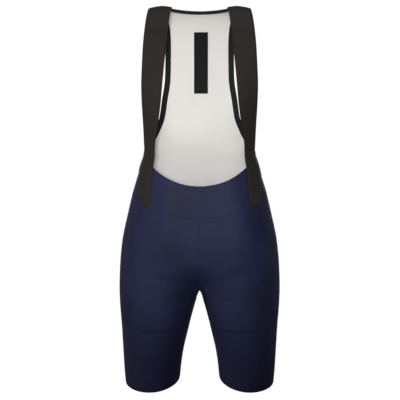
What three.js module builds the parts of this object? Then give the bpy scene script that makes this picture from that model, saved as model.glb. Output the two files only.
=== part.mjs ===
// Cycling bib shorts, filled out as when worn, with nobody in them.
// Millimetres, +Z up, the front faces -Y. The origin lies midway between the shoulders,
// level with the underside of the straps where they cross the shoulders.
import * as THREE from 'three';

// Cloth
const LYCRA = 1.2;
const MESH = 1.0;
const ELASTIC = 1.4;
const BINDING = 1.6;
const PATCH = 1.0;
const SEAM_GAP = 0.3;
const PATCH_GAP = 0.4;
const STRAP_GAP = 0.6;
const CENTRE_INSET = 0.3;

// Heights of the main lines
const SCOOP_CENTRE = -380;
const WAIST_SIDE = -313;
const YOKE_SEAM_CENTRE = -449;
const YOKE_SEAM_SIDE = -402.5;
const BACK_SEAM_CENTRE = -440;
const CROTCH = -622;
const THIGH_SEAM = -698;
const THIGH_SEAM_SIDE = -642;
const NECK_CENTRE = -9.5;
const NECK_END = -4.2;

// How far round the body the front pieces reach, from 0 at the centre front to 1 at the centre back
const YOKE_WRAP = 0.56;
const THIGH_SEAM_CORNER = 0.3;

// How sharply the seams climb towards the side
const SCOOP_POWER = 1.1;
const YOKE_SEAM_POWER = 1.15;
const BACK_SEAM_POWER = 1.8;
const THIGH_SEAM_POWER = 0.55;

// Crotch: softness of the fold between the legs and where the dip starts
const FOLD_RADIUS = 3;
const DIP_FRONT = -545;
const DIP_BACK = -505;
const DIP_END_SLOPE = 0.6;
const SIDE_SEAM_SWEEP = 90;

// Gusset
const GUSSET_HALF_WIDTH = 23.4;
const GUSSET_FRONT = -606;
const GUSSET_BACK = -580;
const GUSSET_CORNER_DROP = 4;

// Bands and patch
const ARMHOLE_BAND = 12.6;
const NECK_BAND_DROP = 6.8;
const NECK_HALF_WIDTH = 59.6;
const PATCH_WIDTH = 31;
const PATCH_TOP = -54;
const PATCH_BOTTOM = -191;
const PATCH_OFFSET = 3;

// Half sections of the body. side: half width. middle: where the section is deepest.
// front, back: depth each way from centre, which is the y of the widest line.
const BODY = [
  { z: 0, side: 166, middle: 70, front: 4, back: 4, centre: 0 },
  { z: -2, side: 166, middle: 70, front: 14, back: 14, centre: 0 },
  { z: -6, side: 165, middle: 70, front: 25, back: 25, centre: 0 },
  { z: -12, side: 164, middle: 70, front: 37, back: 38, centre: 0 },
  { z: -25, side: 162, middle: 70, front: 50, back: 53, centre: 0 },
  { z: -50, side: 158, middle: 69, front: 66, back: 68, centre: 0 },
  { z: -100, side: 150, middle: 68, front: 88, back: 82, centre: 0 },
  { z: -150, side: 143, middle: 66, front: 100, back: 88, centre: 0 },
  { z: -200, side: 136, middle: 62, front: 104, back: 87, centre: 0 },
  { z: -250, side: 129, middle: 57, front: 98, back: 82, centre: 0 },
  { z: -317, side: 122, middle: 50, front: 88, back: 76, centre: 0 },
  { z: -342, side: 130, middle: 51, front: 92, back: 78, centre: 0 },
  { z: -377, side: 138.5, middle: 54, front: 97, back: 82, centre: 0 },
  { z: -402, side: 146, middle: 58, front: 100, back: 88, centre: 0 },
  { z: -450, side: 157.5, middle: 65, front: 104, back: 100, centre: 0 },
  { z: -500, side: 168.5, middle: 72, front: 105, back: 114, centre: 0 },
  { z: -545, side: 174, middle: 79, front: 102, back: 122, centre: 0 },
  { z: -590, side: 176.5, middle: 85, front: 99, back: 121, centre: 0 },
  { z: -622, side: 177, middle: 88, front: 98, back: 113, centre: 0 },
  { z: -660, side: 175.3, middle: 93, front: 95, back: 99, centre: -1 },
  { z: -700, side: 172.5, middle: 97.5, front: 89, back: 87, centre: 0 },
  { z: -750, side: 170, middle: 101.5, front: 79, back: 76, centre: 2 },
  { z: -800, side: 167.5, middle: 104.5, front: 69, back: 67, centre: 4 },
  { z: -850, side: 163.5, middle: 106, front: 63, back: 62, centre: 6 },
];

// Gap between the legs: half of it at each height below the crotch
const LEG_GAP = [
  { z: -622, inside: 0 },
  { z: -627, inside: 3.3 },
  { z: -645, inside: 8.9 },
  { z: -681, inside: 18.9 },
  { z: -720, inside: 28.4 },
  { z: -754, inside: 36.2 },
  { z: -790, inside: 41.6 },
  { z: -850, inside: 47 },
];

// Hem height round the leg, from the inner leg over the front to the back
const HEM = [
  { round: 0, z: -819 },
  { round: 0.25, z: -840 },
  { round: 0.5, z: -830 },
  { round: 0.75, z: -812 },
  { round: 1, z: -819 },
];

// Armhole edge of the back, from the shoulder to the side of the waist
const ARMHOLE = [
  { x: 110, z: -6.3 },
  { x: 101, z: -13 },
  { x: 89, z: -24 },
  { x: 80, z: -40 },
  { x: 77, z: -64 },
  { x: 76.5, z: -100 },
  { x: 78, z: -160 },
  { x: 84.5, z: -205 },
  { x: 89.5, z: -241 },
  { x: 95, z: -258 },
  { x: 103.5, z: -279 },
  { x: 113, z: -297 },
];

// Strap from its seam behind the shoulder down to where it meets the waist.
// turn: degrees that it faces away from the front, towards the side. crown: how far its middle bulges.
// sag: how far its outer edge droops over the shoulder.
const STRAP = [
  { x: 85, y: 23.8, z: -6.1, turn: -3, width: 50, crown: 0, sag: 0 },
  { x: 85, y: 0, z: 0.9, turn: 0, width: 50, crown: 0.5, sag: 5 },
  { x: 86.5, y: -24, z: -6.5, turn: 0, width: 50, crown: 0.5, sag: 4 },
  { x: 88.5, y: -43, z: -20, turn: 1, width: 50, crown: 0.8, sag: 2 },
  { x: 91, y: -62, z: -42, turn: 3, width: 50, crown: 1, sag: 0 },
  { x: 94.5, y: -81, z: -78, turn: 8, width: 50, crown: 1.2, sag: 0 },
  { x: 98, y: -96, z: -125, turn: 16, width: 49, crown: 1.5, sag: 0 },
  { x: 100.5, y: -102, z: -165, turn: 24, width: 49, crown: 1.8, sag: 0 },
  { x: 102, y: -99, z: -205, turn: 33, width: 48, crown: 2, sag: 0 },
  { x: 104, y: -86, z: -245, turn: 45, width: 47, crown: 2.4, sag: 0 },
  { x: 107, y: -67, z: -283, turn: 56, width: 46, crown: 2.8, sag: 0 },
];

// The same strap on the yoke. away: distance of its outer edge from the side line.
const STRAP_ON_YOKE = [
  { z: -322, away: 30, width: 46 },
  { z: -350, away: 38, width: 46 },
  { z: -378, away: 46, width: 45 },
  { z: -404, away: 58.5, width: 41 },
];
const STRAP_END = { away: 66.5, width: 38 };
const STRAP_RIDGE = 0.4;
const SAG_POWER = 1.6;
const STRAP_YOKE_KNOTS = 9;

// Colours of the photograph under its own light
const navy = new THREE.MeshStandardMaterial({ color: 0x31334a, roughness: 0.55, metalness: 0 });
const white = new THREE.MeshStandardMaterial({ color: 0xe4e1dc, roughness: 0.9, metalness: 0 });
const brace = new THREE.MeshStandardMaterial({ color: 0x302c29, roughness: 0.85, metalness: 0 });
const black = new THREE.MeshStandardMaterial({ color: 0x201f1f, roughness: 0.8, metalness: 0 });

const lerp = THREE.MathUtils.lerp;
const clamp = THREE.MathUtils.clamp;

// Smooth curve through a table: the value of one column where another column reads `at`
function read(table, key, column, at) {
  const rising = table[1][key] > table[0][key];
  const last = table.length - 1;
  let i = 0;
  while (i < last - 1 && (rising ? at > table[i + 1][key] : at < table[i + 1][key])) i += 1;
  const slope = (a, b) => (table[b][column] - table[a][column]) / (table[b][key] - table[a][key]);
  const here = slope(i, i + 1);
  const before = i > 0 ? (slope(i - 1, i) + here) / 2 : here;
  const after = i + 1 < last ? (here + slope(i + 1, i + 2)) / 2 : here;
  const span = table[i + 1][key] - table[i][key];
  const t = (at - table[i][key]) / span;
  const t2 = t * t;
  const t3 = t2 * t;
  return (
    (2 * t3 - 3 * t2 + 1) * table[i][column] +
    (t3 - 2 * t2 + t) * span * before +
    (3 * t2 - 2 * t3) * table[i + 1][column] +
    (t3 - t2) * span * after
  );
}

const legGap = (z) => (z >= CROTCH ? 0 : Math.max(0, read(LEG_GAP, 'z', 'inside', z)));
const softWidth = (x) => Math.hypot(x, FOLD_RADIUS) - FOLD_RADIUS;

// 0 on the torso, 1 at the crotch, more on the legs: how far the section dips between the legs
function dip(z, start, middle) {
  if (z >= start) return 0;
  if (z >= CROTCH) {
    const s = (start - z) / (start - CROTCH);
    return (3 - DIP_END_SLOPE) * s ** 2 + (DIP_END_SLOPE - 2) * s ** 3;
  }
  return (1 - softWidth(legGap(z)) / softWidth(middle)) ** -2;
}

// Depth of the section at x, for the front or the back
function depthAt(x, z, half) {
  const middle = read(BODY, 'z', 'middle', z);
  const side = read(BODY, 'z', 'side', z);
  const depth = read(BODY, 'z', half, z);
  if (x >= middle) return depth * Math.sqrt(Math.max(0, 1 - ((x - middle) / (side - middle)) ** 2));
  const fall = dip(z, half === 'front' ? DIP_FRONT : DIP_BACK, middle);
  return depth * Math.sqrt(Math.max(0, 1 - fall * (1 - softWidth(x) / softWidth(middle)) ** 2));
}

const SECTION_STEPS = 32;
const sections = new Map();

// Half section at a height: its points from the inner line to the widest line, and their distance along it
function section(z, half) {
  const key = `${half} ${z.toFixed(4)}`;
  if (sections.has(key)) return sections.get(key);
  const middle = read(BODY, 'z', 'middle', z);
  const side = read(BODY, 'z', 'side', z);
  const start = legGap(z);
  const points = [];
  for (let i = 0; i <= SECTION_STEPS; i += 1) {
    const angle = (i / SECTION_STEPS) * (Math.PI / 2);
    const x = middle - (middle - start) * Math.cos(angle);
    points.push({ x, y: x <= start + 1e-9 && start > 0 ? 0 : depthAt(x, z, half) });
  }
  for (let i = 1; i <= SECTION_STEPS; i += 1) {
    const angle = (i / SECTION_STEPS) * (Math.PI / 2);
    const x = middle + (side - middle) * Math.sin(angle);
    points.push({ x, y: depthAt(middle, z, half) * Math.cos(angle) });
  }
  points[0].along = 0;
  for (let i = 1; i < points.length; i += 1) {
    const step = Math.hypot(points[i].x - points[i - 1].x, points[i].y - points[i - 1].y);
    points[i].along = points[i - 1].along + step;
  }
  sections.set(key, points);
  return points;
}

const halfLength = (z, half) => section(z, half)[2 * SECTION_STEPS].along;

// Value of `column` on a section where `key` reads `at`; both grow along it
function alongSection(points, key, column, at) {
  let i = 1;
  while (i < points.length - 1 && points[i][key] < at) i += 1;
  const t = clamp((at - points[i - 1][key]) / (points[i][key] - points[i - 1][key]), 0, 1);
  return lerp(points[i - 1][column], points[i][column], t);
}

// Point of the right half. round: 0 at the centre front or inner leg, 0.5 at the side, 1 at the back
function bodyPoint(round, z) {
  const half = round <= 0.5 ? 'front' : 'back';
  const share = round <= 0.5 ? round * 2 : (1 - round) * 2;
  const points = section(z, half);
  const along = share * halfLength(z, half);
  const x = alongSection(points, 'along', 'x', along);
  const y = alongSection(points, 'along', 'y', along);
  const centre = read(BODY, 'z', 'centre', z);
  return new THREE.Vector3(x, centre + (half === 'front' ? -y : y), z);
}

const ROUND_STEP = 0.002;
const HEIGHT_STEP = 0.25;
const EDGE_STEP = 0.05;
const SEAM_STEP = 0.01;

// A place on the body: the point and the way out of the cloth, mirrored where side is -1
function onBody(round, z, side = 1) {
  const a = clamp(round - ROUND_STEP, 0, 1);
  const b = clamp(round + ROUND_STEP, 0, 1);
  const across = bodyPoint(b, z).sub(bodyPoint(a, z));
  const up = bodyPoint(round, Math.min(0, z + HEIGHT_STEP)).sub(bodyPoint(round, z - HEIGHT_STEP));
  const point = bodyPoint(round, z);
  const normal = across.cross(up).normalize();
  point.x *= side;
  normal.x *= side;
  return { point, normal };
}

// Distances on the body turned into its round coordinate
const fromInnerFront = (distance, z) => (0.5 * distance) / halfLength(z, 'front');
const fromInnerBack = (distance, z) => 1 - (0.5 * distance) / halfLength(z, 'back');
const frontOfSide = (distance, z) => 0.5 - (0.5 * distance) / halfLength(z, 'front');
const roundAtFrontX = (x, z) => fromInnerFront(alongSection(section(z, 'front'), 'x', 'along', x), z);
const roundAtBackX = (x, z) => fromInnerBack(alongSection(section(z, 'back'), 'x', 'along', x), z);

// Seam lines
const towardsSide = (round, power) => Math.sin(Math.PI * Math.min(round, 0.5)) ** (2 * power);
const scoopEdge = (round) => lerp(SCOOP_CENTRE, WAIST_SIDE, towardsSide(round, SCOOP_POWER));
const yokeSeam = (round) => lerp(YOKE_SEAM_CENTRE, YOKE_SEAM_SIDE, towardsSide(round, YOKE_SEAM_POWER));

function backSeam(round) {
  const share = clamp((round - YOKE_WRAP) / (1 - YOKE_WRAP), 0, 1);
  return lerp(BACK_SEAM_CENTRE, WAIST_SIDE, (1 - share) ** BACK_SEAM_POWER);
}

function sideSeam(z) {
  const rise = THIGH_SEAM_SIDE - THIGH_SEAM;
  if (z <= THIGH_SEAM_SIDE) {
    return lerp(THIGH_SEAM_CORNER, 0.5, clamp((z - THIGH_SEAM) / rise, 0, 1) ** THIGH_SEAM_POWER);
  }
  return lerp(0.5, YOKE_WRAP, THREE.MathUtils.smoothstep(z, THIGH_SEAM_SIDE, THIGH_SEAM_SIDE + SIDE_SEAM_SWEEP));
}

// Thin solid from a sheet of places: outer face, inner face and a wall round every free edge
function thicken(sheet, thickness, lift = 0) {
  const count = sheet.places.length;
  const positions = [];
  for (const offset of [lift + thickness / 2, lift - thickness / 2]) {
    for (const { point, normal } of sheet.places) {
      const moved = point.clone().addScaledVector(normal, offset);
      positions.push(moved.x, moved.y, moved.z);
    }
  }
  const index = [];
  const edges = new Map();
  for (const [a, b, c] of sheet.faces) {
    index.push(a, b, c);
    index.push(count + a, count + c, count + b);
    for (const [from, to] of [[a, b], [b, c], [c, a]]) {
      if (!edges.delete(`${to} ${from}`)) edges.set(`${from} ${to}`, [from, to]);
    }
  }
  for (const [from, to] of edges.values()) {
    index.push(to, from, count + from);
    index.push(to, count + from, count + to);
  }
  const geometry = new THREE.BufferGeometry();
  geometry.setAttribute('position', new THREE.Float32BufferAttribute(positions, 3));
  geometry.setIndex(index);
  return geometry;
}

// Sheet from a grid of places, columns to the right and rows upwards as seen from outside.
// Cells for which `has` is false are left out.
function grid(columns, rows, place, has = () => true) {
  const places = [];
  const faces = [];
  const numbers = new Map();
  const number = (c, r) => {
    const key = c + r * (columns + 1);
    if (!numbers.has(key)) {
      numbers.set(key, places.length);
      places.push(place(c, r));
    }
    return numbers.get(key);
  };
  for (let r = 0; r < rows; r += 1) {
    for (let c = 0; c < columns; c += 1) {
      if (!has(c, r)) continue;
      const [a, b, d, e] = [number(c, r), number(c + 1, r), number(c + 1, r + 1), number(c, r + 1)];
      const reach = (from, to) => places[from].point.distanceTo(places[to].point);
      if (reach(a, d) < reach(b, e)) faces.push([a, b, d], [a, d, e]);
      else faces.push([a, b, e], [b, d, e]);
    }
  }
  return { places, faces };
}

// The same sheet for the other side of the body
function mirrored(sheet) {
  const places = sheet.places.map(({ point, normal }) => ({
    point: new THREE.Vector3(-point.x, point.y, point.z),
    normal: new THREE.Vector3(-normal.x, normal.y, normal.z),
  }));
  return { places, faces: sheet.faces.map(([a, b, c]) => [a, c, b]) };
}

const bibShorts = new THREE.Group();

function addPiece(name, sheet, material, thickness, lift = 0) {
  const piece = new THREE.Mesh(thicken(sheet, thickness, lift), material);
  piece.name = name;
  bibShorts.add(piece);
}

function addPair(name, sheet, material, thickness, lift = 0) {
  addPiece(`${name}_right`, sheet, material, thickness, lift);
  addPiece(`${name}_left`, mirrored(sheet), material, thickness, lift);
}

const seamHalf = SEAM_GAP / 2;

// Front yoke: one piece from side to side
function frontYoke() {
  const columns = 44;
  const rows = 8;
  return grid(columns, rows, (c, r) => {
    const share = (2 * c) / columns - 1;
    const side = share < 0 ? -1 : 1;
    const round = Math.abs(share) * YOKE_WRAP;
    const z = lerp(yokeSeam(round) + SEAM_GAP, scoopEdge(round), r / rows);
    return onBody(round - (Math.abs(share) === 1 ? fromInnerFront(SEAM_GAP, z) : 0), z, side);
  });
}

// Inner edge of a leg panel: the centre seam, the gusset's edge, then the inner leg seam
function innerEdge(z, gussetEnd, roundAtX) {
  const atGusset = z < gussetEnd - seamHalf && legGap(z) < GUSSET_HALF_WIDTH;
  return atGusset ? roundAtX(GUSSET_HALF_WIDTH + seamHalf, z) : null;
}

const THIGH_FRONT_ROWS = [
  THIGH_SEAM + seamHalf, -695, -690, -683, -674, -663, -652, THIGH_SEAM_SIDE, -632, CROTCH,
  GUSSET_FRONT - GUSSET_CORNER_DROP, GUSSET_FRONT, -596, -580, -562, -545,
];
const THIGH_FRONT_UPPER_ROWS = 6;

function thighFront() {
  const columns = 14;
  const fixed = THIGH_FRONT_ROWS.length - 1;
  return grid(columns, fixed + THIGH_FRONT_UPPER_ROWS, (c, r) => {
    const share = c / columns;
    const top = THIGH_FRONT_ROWS[fixed];
    const round = (z) => {
      const inner = innerEdge(z, GUSSET_FRONT, roundAtFrontX) ?? fromInnerFront(CENTRE_INSET, z);
      const outer = sideSeam(z - SEAM_GAP) - fromInnerFront(SEAM_GAP, z);
      return lerp(inner, outer, share);
    };
    if (r <= fixed) return onBody(round(THIGH_FRONT_ROWS[r]), THIGH_FRONT_ROWS[r]);
    const seam = yokeSeam(round(top)) - seamHalf;
    const z = lerp(top, seam, (r - fixed) / THIGH_FRONT_UPPER_ROWS);
    return onBody(round(z), z);
  });
}

// Seat, back of the thigh and the lower leg all round
const SEAT_ROWS = [
  THIGH_SEAM - seamHalf, -695, -690, -683, -674, -663, -652, THIGH_SEAM_SIDE, -632, CROTCH, -604,
  GUSSET_BACK - GUSSET_CORNER_DROP, GUSSET_BACK, -562, -545,
];
const SEAT_UPPER_ROWS = 7;
const BAND_ROWS = 6;
const BAND_FRONT_COLUMNS = 8;

function seatLeg() {
  const seatColumns = 16;
  const columns = BAND_FRONT_COLUMNS + seatColumns;
  const fixed = BAND_ROWS + SEAT_ROWS.length - 1;
  const rows = fixed + SEAT_UPPER_ROWS;
  const place = (c, r) => {
    if (r < BAND_ROWS) {
      const inner = fromInnerFront(seamHalf, SEAT_ROWS[0]);
      const outer = fromInnerBack(seamHalf, SEAT_ROWS[0]);
      const round =
        c <= BAND_FRONT_COLUMNS
          ? lerp(inner, THIGH_SEAM_CORNER, c / BAND_FRONT_COLUMNS)
          : lerp(THIGH_SEAM_CORNER, outer, (c - BAND_FRONT_COLUMNS) / seatColumns);
      return onBody(round, lerp(read(HEM, 'round', 'z', round), SEAT_ROWS[0], r / BAND_ROWS));
    }
    const share = (c - BAND_FRONT_COLUMNS) / seatColumns;
    const round = (z) => {
      if (share < 0) return lerp(fromInnerFront(seamHalf, z), THIGH_SEAM_CORNER, c / BAND_FRONT_COLUMNS);
      const inner = innerEdge(z, GUSSET_BACK, roundAtBackX) ?? fromInnerBack(CENTRE_INSET, z);
      return lerp(sideSeam(z), inner, share);
    };
    if (r <= fixed) {
      const z = SEAT_ROWS[r - BAND_ROWS];
      return onBody(round(z), z);
    }
    const top = SEAT_ROWS[SEAT_ROWS.length - 1];
    const seam = backSeam(lerp(YOKE_WRAP, 1, share)) - seamHalf;
    const z = lerp(top, seam, (r - fixed) / SEAT_UPPER_ROWS);
    return onBody(round(z), z);
  };
  return grid(columns, rows, place, (c, r) => r < BAND_ROWS || c >= BAND_FRONT_COLUMNS);
}

// Gusset: the surface under the crotch, found by its height at each x and y
const LOWEST_UNDER = -720;
const HIGHEST_UNDER = -540;
const HALVINGS = 40;

function heightUnder(x, y) {
  const half = y < 0 ? 'front' : 'back';
  let low = LOWEST_UNDER;
  let high = HIGHEST_UNDER;
  for (let i = 0; i < HALVINGS; i += 1) {
    const z = (low + high) / 2;
    const inside = legGap(z) > x || Math.abs(y - read(BODY, 'z', 'centre', z)) > depthAt(x, z, half);
    if (inside) low = z;
    else high = z;
  }
  return (low + high) / 2;
}

const UNDER_STEP = 0.5;

function underPlace(x, y, side) {
  const step = UNDER_STEP;
  const point = new THREE.Vector3(side * x, y, heightUnder(x, y));
  const left = Math.max(0, x - step);
  const slopeX = (heightUnder(x + step, y) - heightUnder(left, y)) / (x + step - left);
  const slopeY = (heightUnder(x, y + step) - heightUnder(x, y - step)) / (2 * step);
  const normal = new THREE.Vector3(side * slopeX, slopeY, -1).normalize();
  return { point, normal };
}

function crotchGusset() {
  const columns = 12;
  const rows = 18;
  const reach = GUSSET_HALF_WIDTH - CENTRE_INSET;
  return grid(columns, rows, (c, r) => {
    const share = (2 * c) / columns - 1;
    const side = share < 0 ? -1 : 1;
    const x = Math.abs(share) * reach;
    const drop = GUSSET_CORNER_DROP * Math.abs(share) + 2 * SEAM_GAP;
    const front = bodyPoint(roundAtFrontX(x, GUSSET_FRONT - drop), GUSSET_FRONT - drop).y;
    const back = bodyPoint(roundAtBackX(x, GUSSET_BACK - drop), GUSSET_BACK - drop).y;
    return underPlace(x, lerp(back, front, r / rows), side);
  });
}

// Armhole edge as steps in the body's own coordinates, ending at the side of the waist
const armholeSteps = ARMHOLE.map(({ x, z }, step) => ({ step, round: roundAtBackX(x, z), z }));
armholeSteps.push({
  step: ARMHOLE.length,
  round: YOKE_WRAP + fromInnerFront(seamHalf, WAIST_SIDE),
  z: WAIST_SIDE + seamHalf,
});
const ARMHOLE_END = ARMHOLE.length;

function armholeAt(step) {
  return {
    round: read(armholeSteps, 'step', 'round', step),
    z: read(armholeSteps, 'step', 'z', step),
  };
}

// Millimetres that one unit of round and one of height measure on the back of the body
function backScale({ round, z }) {
  const up = bodyPoint(round, Math.min(0, z + HEIGHT_STEP)).distanceTo(bodyPoint(round, z - HEIGHT_STEP));
  return { round: 2 * halfLength(z, 'back'), z: up / (Math.min(0, z + HEIGHT_STEP) - z + HEIGHT_STEP) };
}

// Place a distance in from the armhole edge: square to it, and along the back seam at its lower end
function insideArmhole(step, distance) {
  const at = armholeAt(step);
  const scale = backScale(at);
  const a = armholeAt(Math.max(0, step - EDGE_STEP));
  const b = armholeAt(Math.min(ARMHOLE_END, step + EDGE_STEP));
  const square = new THREE.Vector2(-(b.z - a.z) * scale.z, (b.round - a.round) * scale.round).normalize();
  const slope = (backSeam(at.round + SEAM_STEP) - backSeam(at.round)) * scale.z;
  const seam = new THREE.Vector2(SEAM_STEP * scale.round, slope).normalize();
  const towardsEnd = THREE.MathUtils.smoothstep(step, ARMHOLE_END - 1, ARMHOLE_END);
  const towardsTab = 1 - THREE.MathUtils.smoothstep(step, 0, 1);
  const way = square.lerp(seam, towardsEnd).lerp(new THREE.Vector2(1, 0), towardsTab).normalize();
  return { round: at.round + (way.x * distance) / scale.round, z: at.z + (way.y * distance) / scale.z };
}

function armholeBinding() {
  const rows = 22;
  return grid(2, rows, (c, r) => {
    const at = insideArmhole(ARMHOLE_END * (1 - r / rows), (ARMHOLE_BAND * c) / 2);
    return onBody(at.round, at.z);
  });
}

const neckEdge = (x) => lerp(NECK_CENTRE, NECK_END, (x / NECK_HALF_WIDTH) ** 2);

function neckBinding() {
  const columns = 16;
  return grid(columns, 2, (c, r) => {
    const across = NECK_HALF_WIDTH * (1 - (2 * c) / columns);
    const x = Math.abs(across);
    const z = neckEdge(x) - NECK_BAND_DROP * (1 - r / 2);
    return onBody(roundAtBackX(x, z), z, across < 0 ? -1 : 1);
  });
}

// Upper back: a patch between the armhole bindings, the neck and the back seam.
// BACK_COLUMNS: distance of each column's top from the middle.
const BACK_COLUMNS = [88, 76, 64, NECK_HALF_WIDTH, 45, 30, 15, 0];
const BACK_ROWS = 22;
const BACK_ROW_POWER = 1.5;

function backMeshPanel() {
  const corner = insideArmhole(0, ARMHOLE_BAND + SEAM_GAP);
  const cornerX = bodyPoint(corner.round, corner.z).x;
  const tops = [cornerX, ...BACK_COLUMNS];
  const middle = tops.length - 1;
  const neckDrop = NECK_BAND_DROP + SEAM_GAP;
  const topEdge = (x) => {
    const z = x > NECK_HALF_WIDTH ? corner.z : neckEdge(x) - neckDrop;
    return { round: roundAtBackX(x, z), z };
  };
  const centreTop = topEdge(0).z;
  const bottomCorner = insideArmhole(ARMHOLE_END, ARMHOLE_BAND + SEAM_GAP);
  return grid(2 * middle, BACK_ROWS, (c, r) => {
    const column = c <= middle ? c : 2 * middle - c;
    const share = 1 - tops[column] / cornerX;
    const down = 1 - r / BACK_ROWS;
    const left = insideArmhole(ARMHOLE_END * down, ARMHOLE_BAND + SEAM_GAP);
    const centre = { round: 1, z: lerp(centreTop, BACK_SEAM_CENTRE + SEAM_GAP, down ** BACK_ROW_POWER) };
    const top = topEdge(tops[column]);
    const bottomRound = lerp(bottomCorner.round, 1, share);
    const bottom = { round: bottomRound, z: backSeam(bottomRound) + SEAM_GAP };
    const between = (key) => {
      const sides = lerp(left[key], centre[key], share);
      const ends = lerp(top[key], bottom[key], down);
      const first = lerp(corner[key], key === 'z' ? centreTop : 1, share);
      const last = lerp(bottomCorner[key], key === 'z' ? BACK_SEAM_CENTRE + SEAM_GAP : 1, share);
      return sides + ends - lerp(first, last, down);
    };
    return onBody(Math.min(1, between('round')), between('z'), c <= middle ? 1 : -1);
  });
}

// Strap: across is 0 on its inner edge and 1 on its outer edge
const strapLift = LYCRA / 2 + STRAP_GAP + ELASTIC / 2;

function strapOnYoke(z, across, away, width) {
  const round = frontOfSide(away + width * (1 - across), z);
  const { point, normal } = onBody(round, z);
  return point.addScaledVector(normal, strapLift);
}

function strapEnd(across) {
  const { away, width } = STRAP_END;
  const roundHere = frontOfSide(away + width * (1 - across), YOKE_SEAM_SIDE);
  return strapOnYoke(yokeSeam(roundHere) + seamHalf, across, away, width);
}

function strapOnBody({ x, y, z, turn, width, crown, sag }, across) {
  const angle = THREE.MathUtils.degToRad(turn);
  const aside = (across - 0.5) * width;
  const bulge = crown * (1 - (2 * across - 1) ** 2);
  const droop = sag * (Math.abs(across - STRAP_RIDGE) / (1 - STRAP_RIDGE)) ** SAG_POWER;
  const point = new THREE.Vector3(x + aside * Math.cos(angle), y + aside * Math.sin(angle), z - droop);
  return point.add(new THREE.Vector3(bulge * Math.sin(angle), -bulge * Math.cos(angle), 0));
}

const strapKnots = [strapEnd];
for (let i = 0; i < STRAP_YOKE_KNOTS; i += 1) {
  const share = i / (STRAP_YOKE_KNOTS - 1);
  const z = lerp(STRAP_ON_YOKE[STRAP_ON_YOKE.length - 1].z, STRAP_ON_YOKE[0].z, share);
  const away = read(STRAP_ON_YOKE, 'z', 'away', z);
  const width = read(STRAP_ON_YOKE, 'z', 'width', z);
  strapKnots.push((across) => strapOnYoke(z, across, away, width));
}
for (const row of [...STRAP].reverse()) strapKnots.push((across) => strapOnBody(row, across));

function strapPoint(along, across) {
  const curve = new THREE.CatmullRomCurve3(strapKnots.map((knot) => knot(across)));
  return curve.getPoint(along);
}

const ALONG_STEP = 0.004;
const ACROSS_STEP = 0.05;

function strap() {
  const columns = 6;
  const last = strapKnots.length - 1;
  const stations = strapKnots.map((_, i) => i / last);
  for (let i = STRAP_YOKE_KNOTS; i < last; i += 1) stations.push((i + 0.5) / last);
  stations.sort((a, b) => a - b);
  return grid(columns, stations.length - 1, (c, r) => {
    const along = stations[r];
    const across = c / columns;
    const point = strapPoint(along, across);
    const above = strapPoint(Math.min(1, along + ALONG_STEP), across);
    const below = strapPoint(Math.max(0, along - ALONG_STEP), across);
    const outside = strapPoint(along, Math.min(1, across + ACROSS_STEP));
    const inside = strapPoint(along, Math.max(0, across - ACROSS_STEP));
    return { point, normal: outside.sub(inside).cross(above.sub(below)).normalize() };
  });
}

// Plain rectangle on the inner face of the back
function backPatch() {
  const columns = 4;
  const rows = 10;
  return grid(columns, rows, (c, r) => {
    const across = PATCH_OFFSET + PATCH_WIDTH * (0.5 - c / columns);
    const z = lerp(PATCH_BOTTOM, PATCH_TOP, r / rows);
    return onBody(roundAtBackX(Math.abs(across), z), z, across < 0 ? -1 : 1);
  });
}

const patchLift = -(MESH / 2 + PATCH_GAP + PATCH / 2);

addPiece('front_yoke', frontYoke(), navy, LYCRA);
addPair('thigh_front', thighFront(), navy, LYCRA);
addPair('seat_leg', seatLeg(), navy, LYCRA);
addPiece('crotch_gusset', crotchGusset(), navy, LYCRA);
addPiece('back_mesh_panel', backMeshPanel(), white, MESH);
addPiece('neck_binding', neckBinding(), black, BINDING);
addPair('armhole_binding', armholeBinding(), black, BINDING);
addPair('strap', strap(), brace, ELASTIC);
addPiece('back_patch', backPatch(), black, PATCH, patchLift);

export default bibShorts;
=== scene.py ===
import logging
import math
from collections.abc import Mapping, Sequence
from dataclasses import dataclass, field
from enum import Enum

import bpy
import numpy as np
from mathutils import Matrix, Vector


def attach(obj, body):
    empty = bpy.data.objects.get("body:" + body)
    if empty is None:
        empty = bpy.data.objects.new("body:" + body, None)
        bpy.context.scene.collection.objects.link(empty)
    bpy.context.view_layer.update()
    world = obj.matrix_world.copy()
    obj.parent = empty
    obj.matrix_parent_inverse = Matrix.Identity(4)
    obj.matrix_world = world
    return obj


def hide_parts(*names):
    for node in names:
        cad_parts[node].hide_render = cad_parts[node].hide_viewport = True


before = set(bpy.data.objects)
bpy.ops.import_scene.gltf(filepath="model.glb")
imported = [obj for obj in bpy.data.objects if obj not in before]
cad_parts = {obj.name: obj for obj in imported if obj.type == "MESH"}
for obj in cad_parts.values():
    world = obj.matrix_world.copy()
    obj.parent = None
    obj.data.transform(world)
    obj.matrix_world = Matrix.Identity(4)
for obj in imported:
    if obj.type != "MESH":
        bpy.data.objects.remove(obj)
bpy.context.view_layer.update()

LOG = logging.getLogger("bib_shorts")
Array = np.ndarray
Numbers = Array | float
Colour = tuple[float, float, float]
MM = 0.001

LYCRA = 1.2
MESH = 1.0
ELASTIC = 1.4
BINDING = 1.6
PATCH = 1.0
CLOTH_GAP = 0.15

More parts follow.
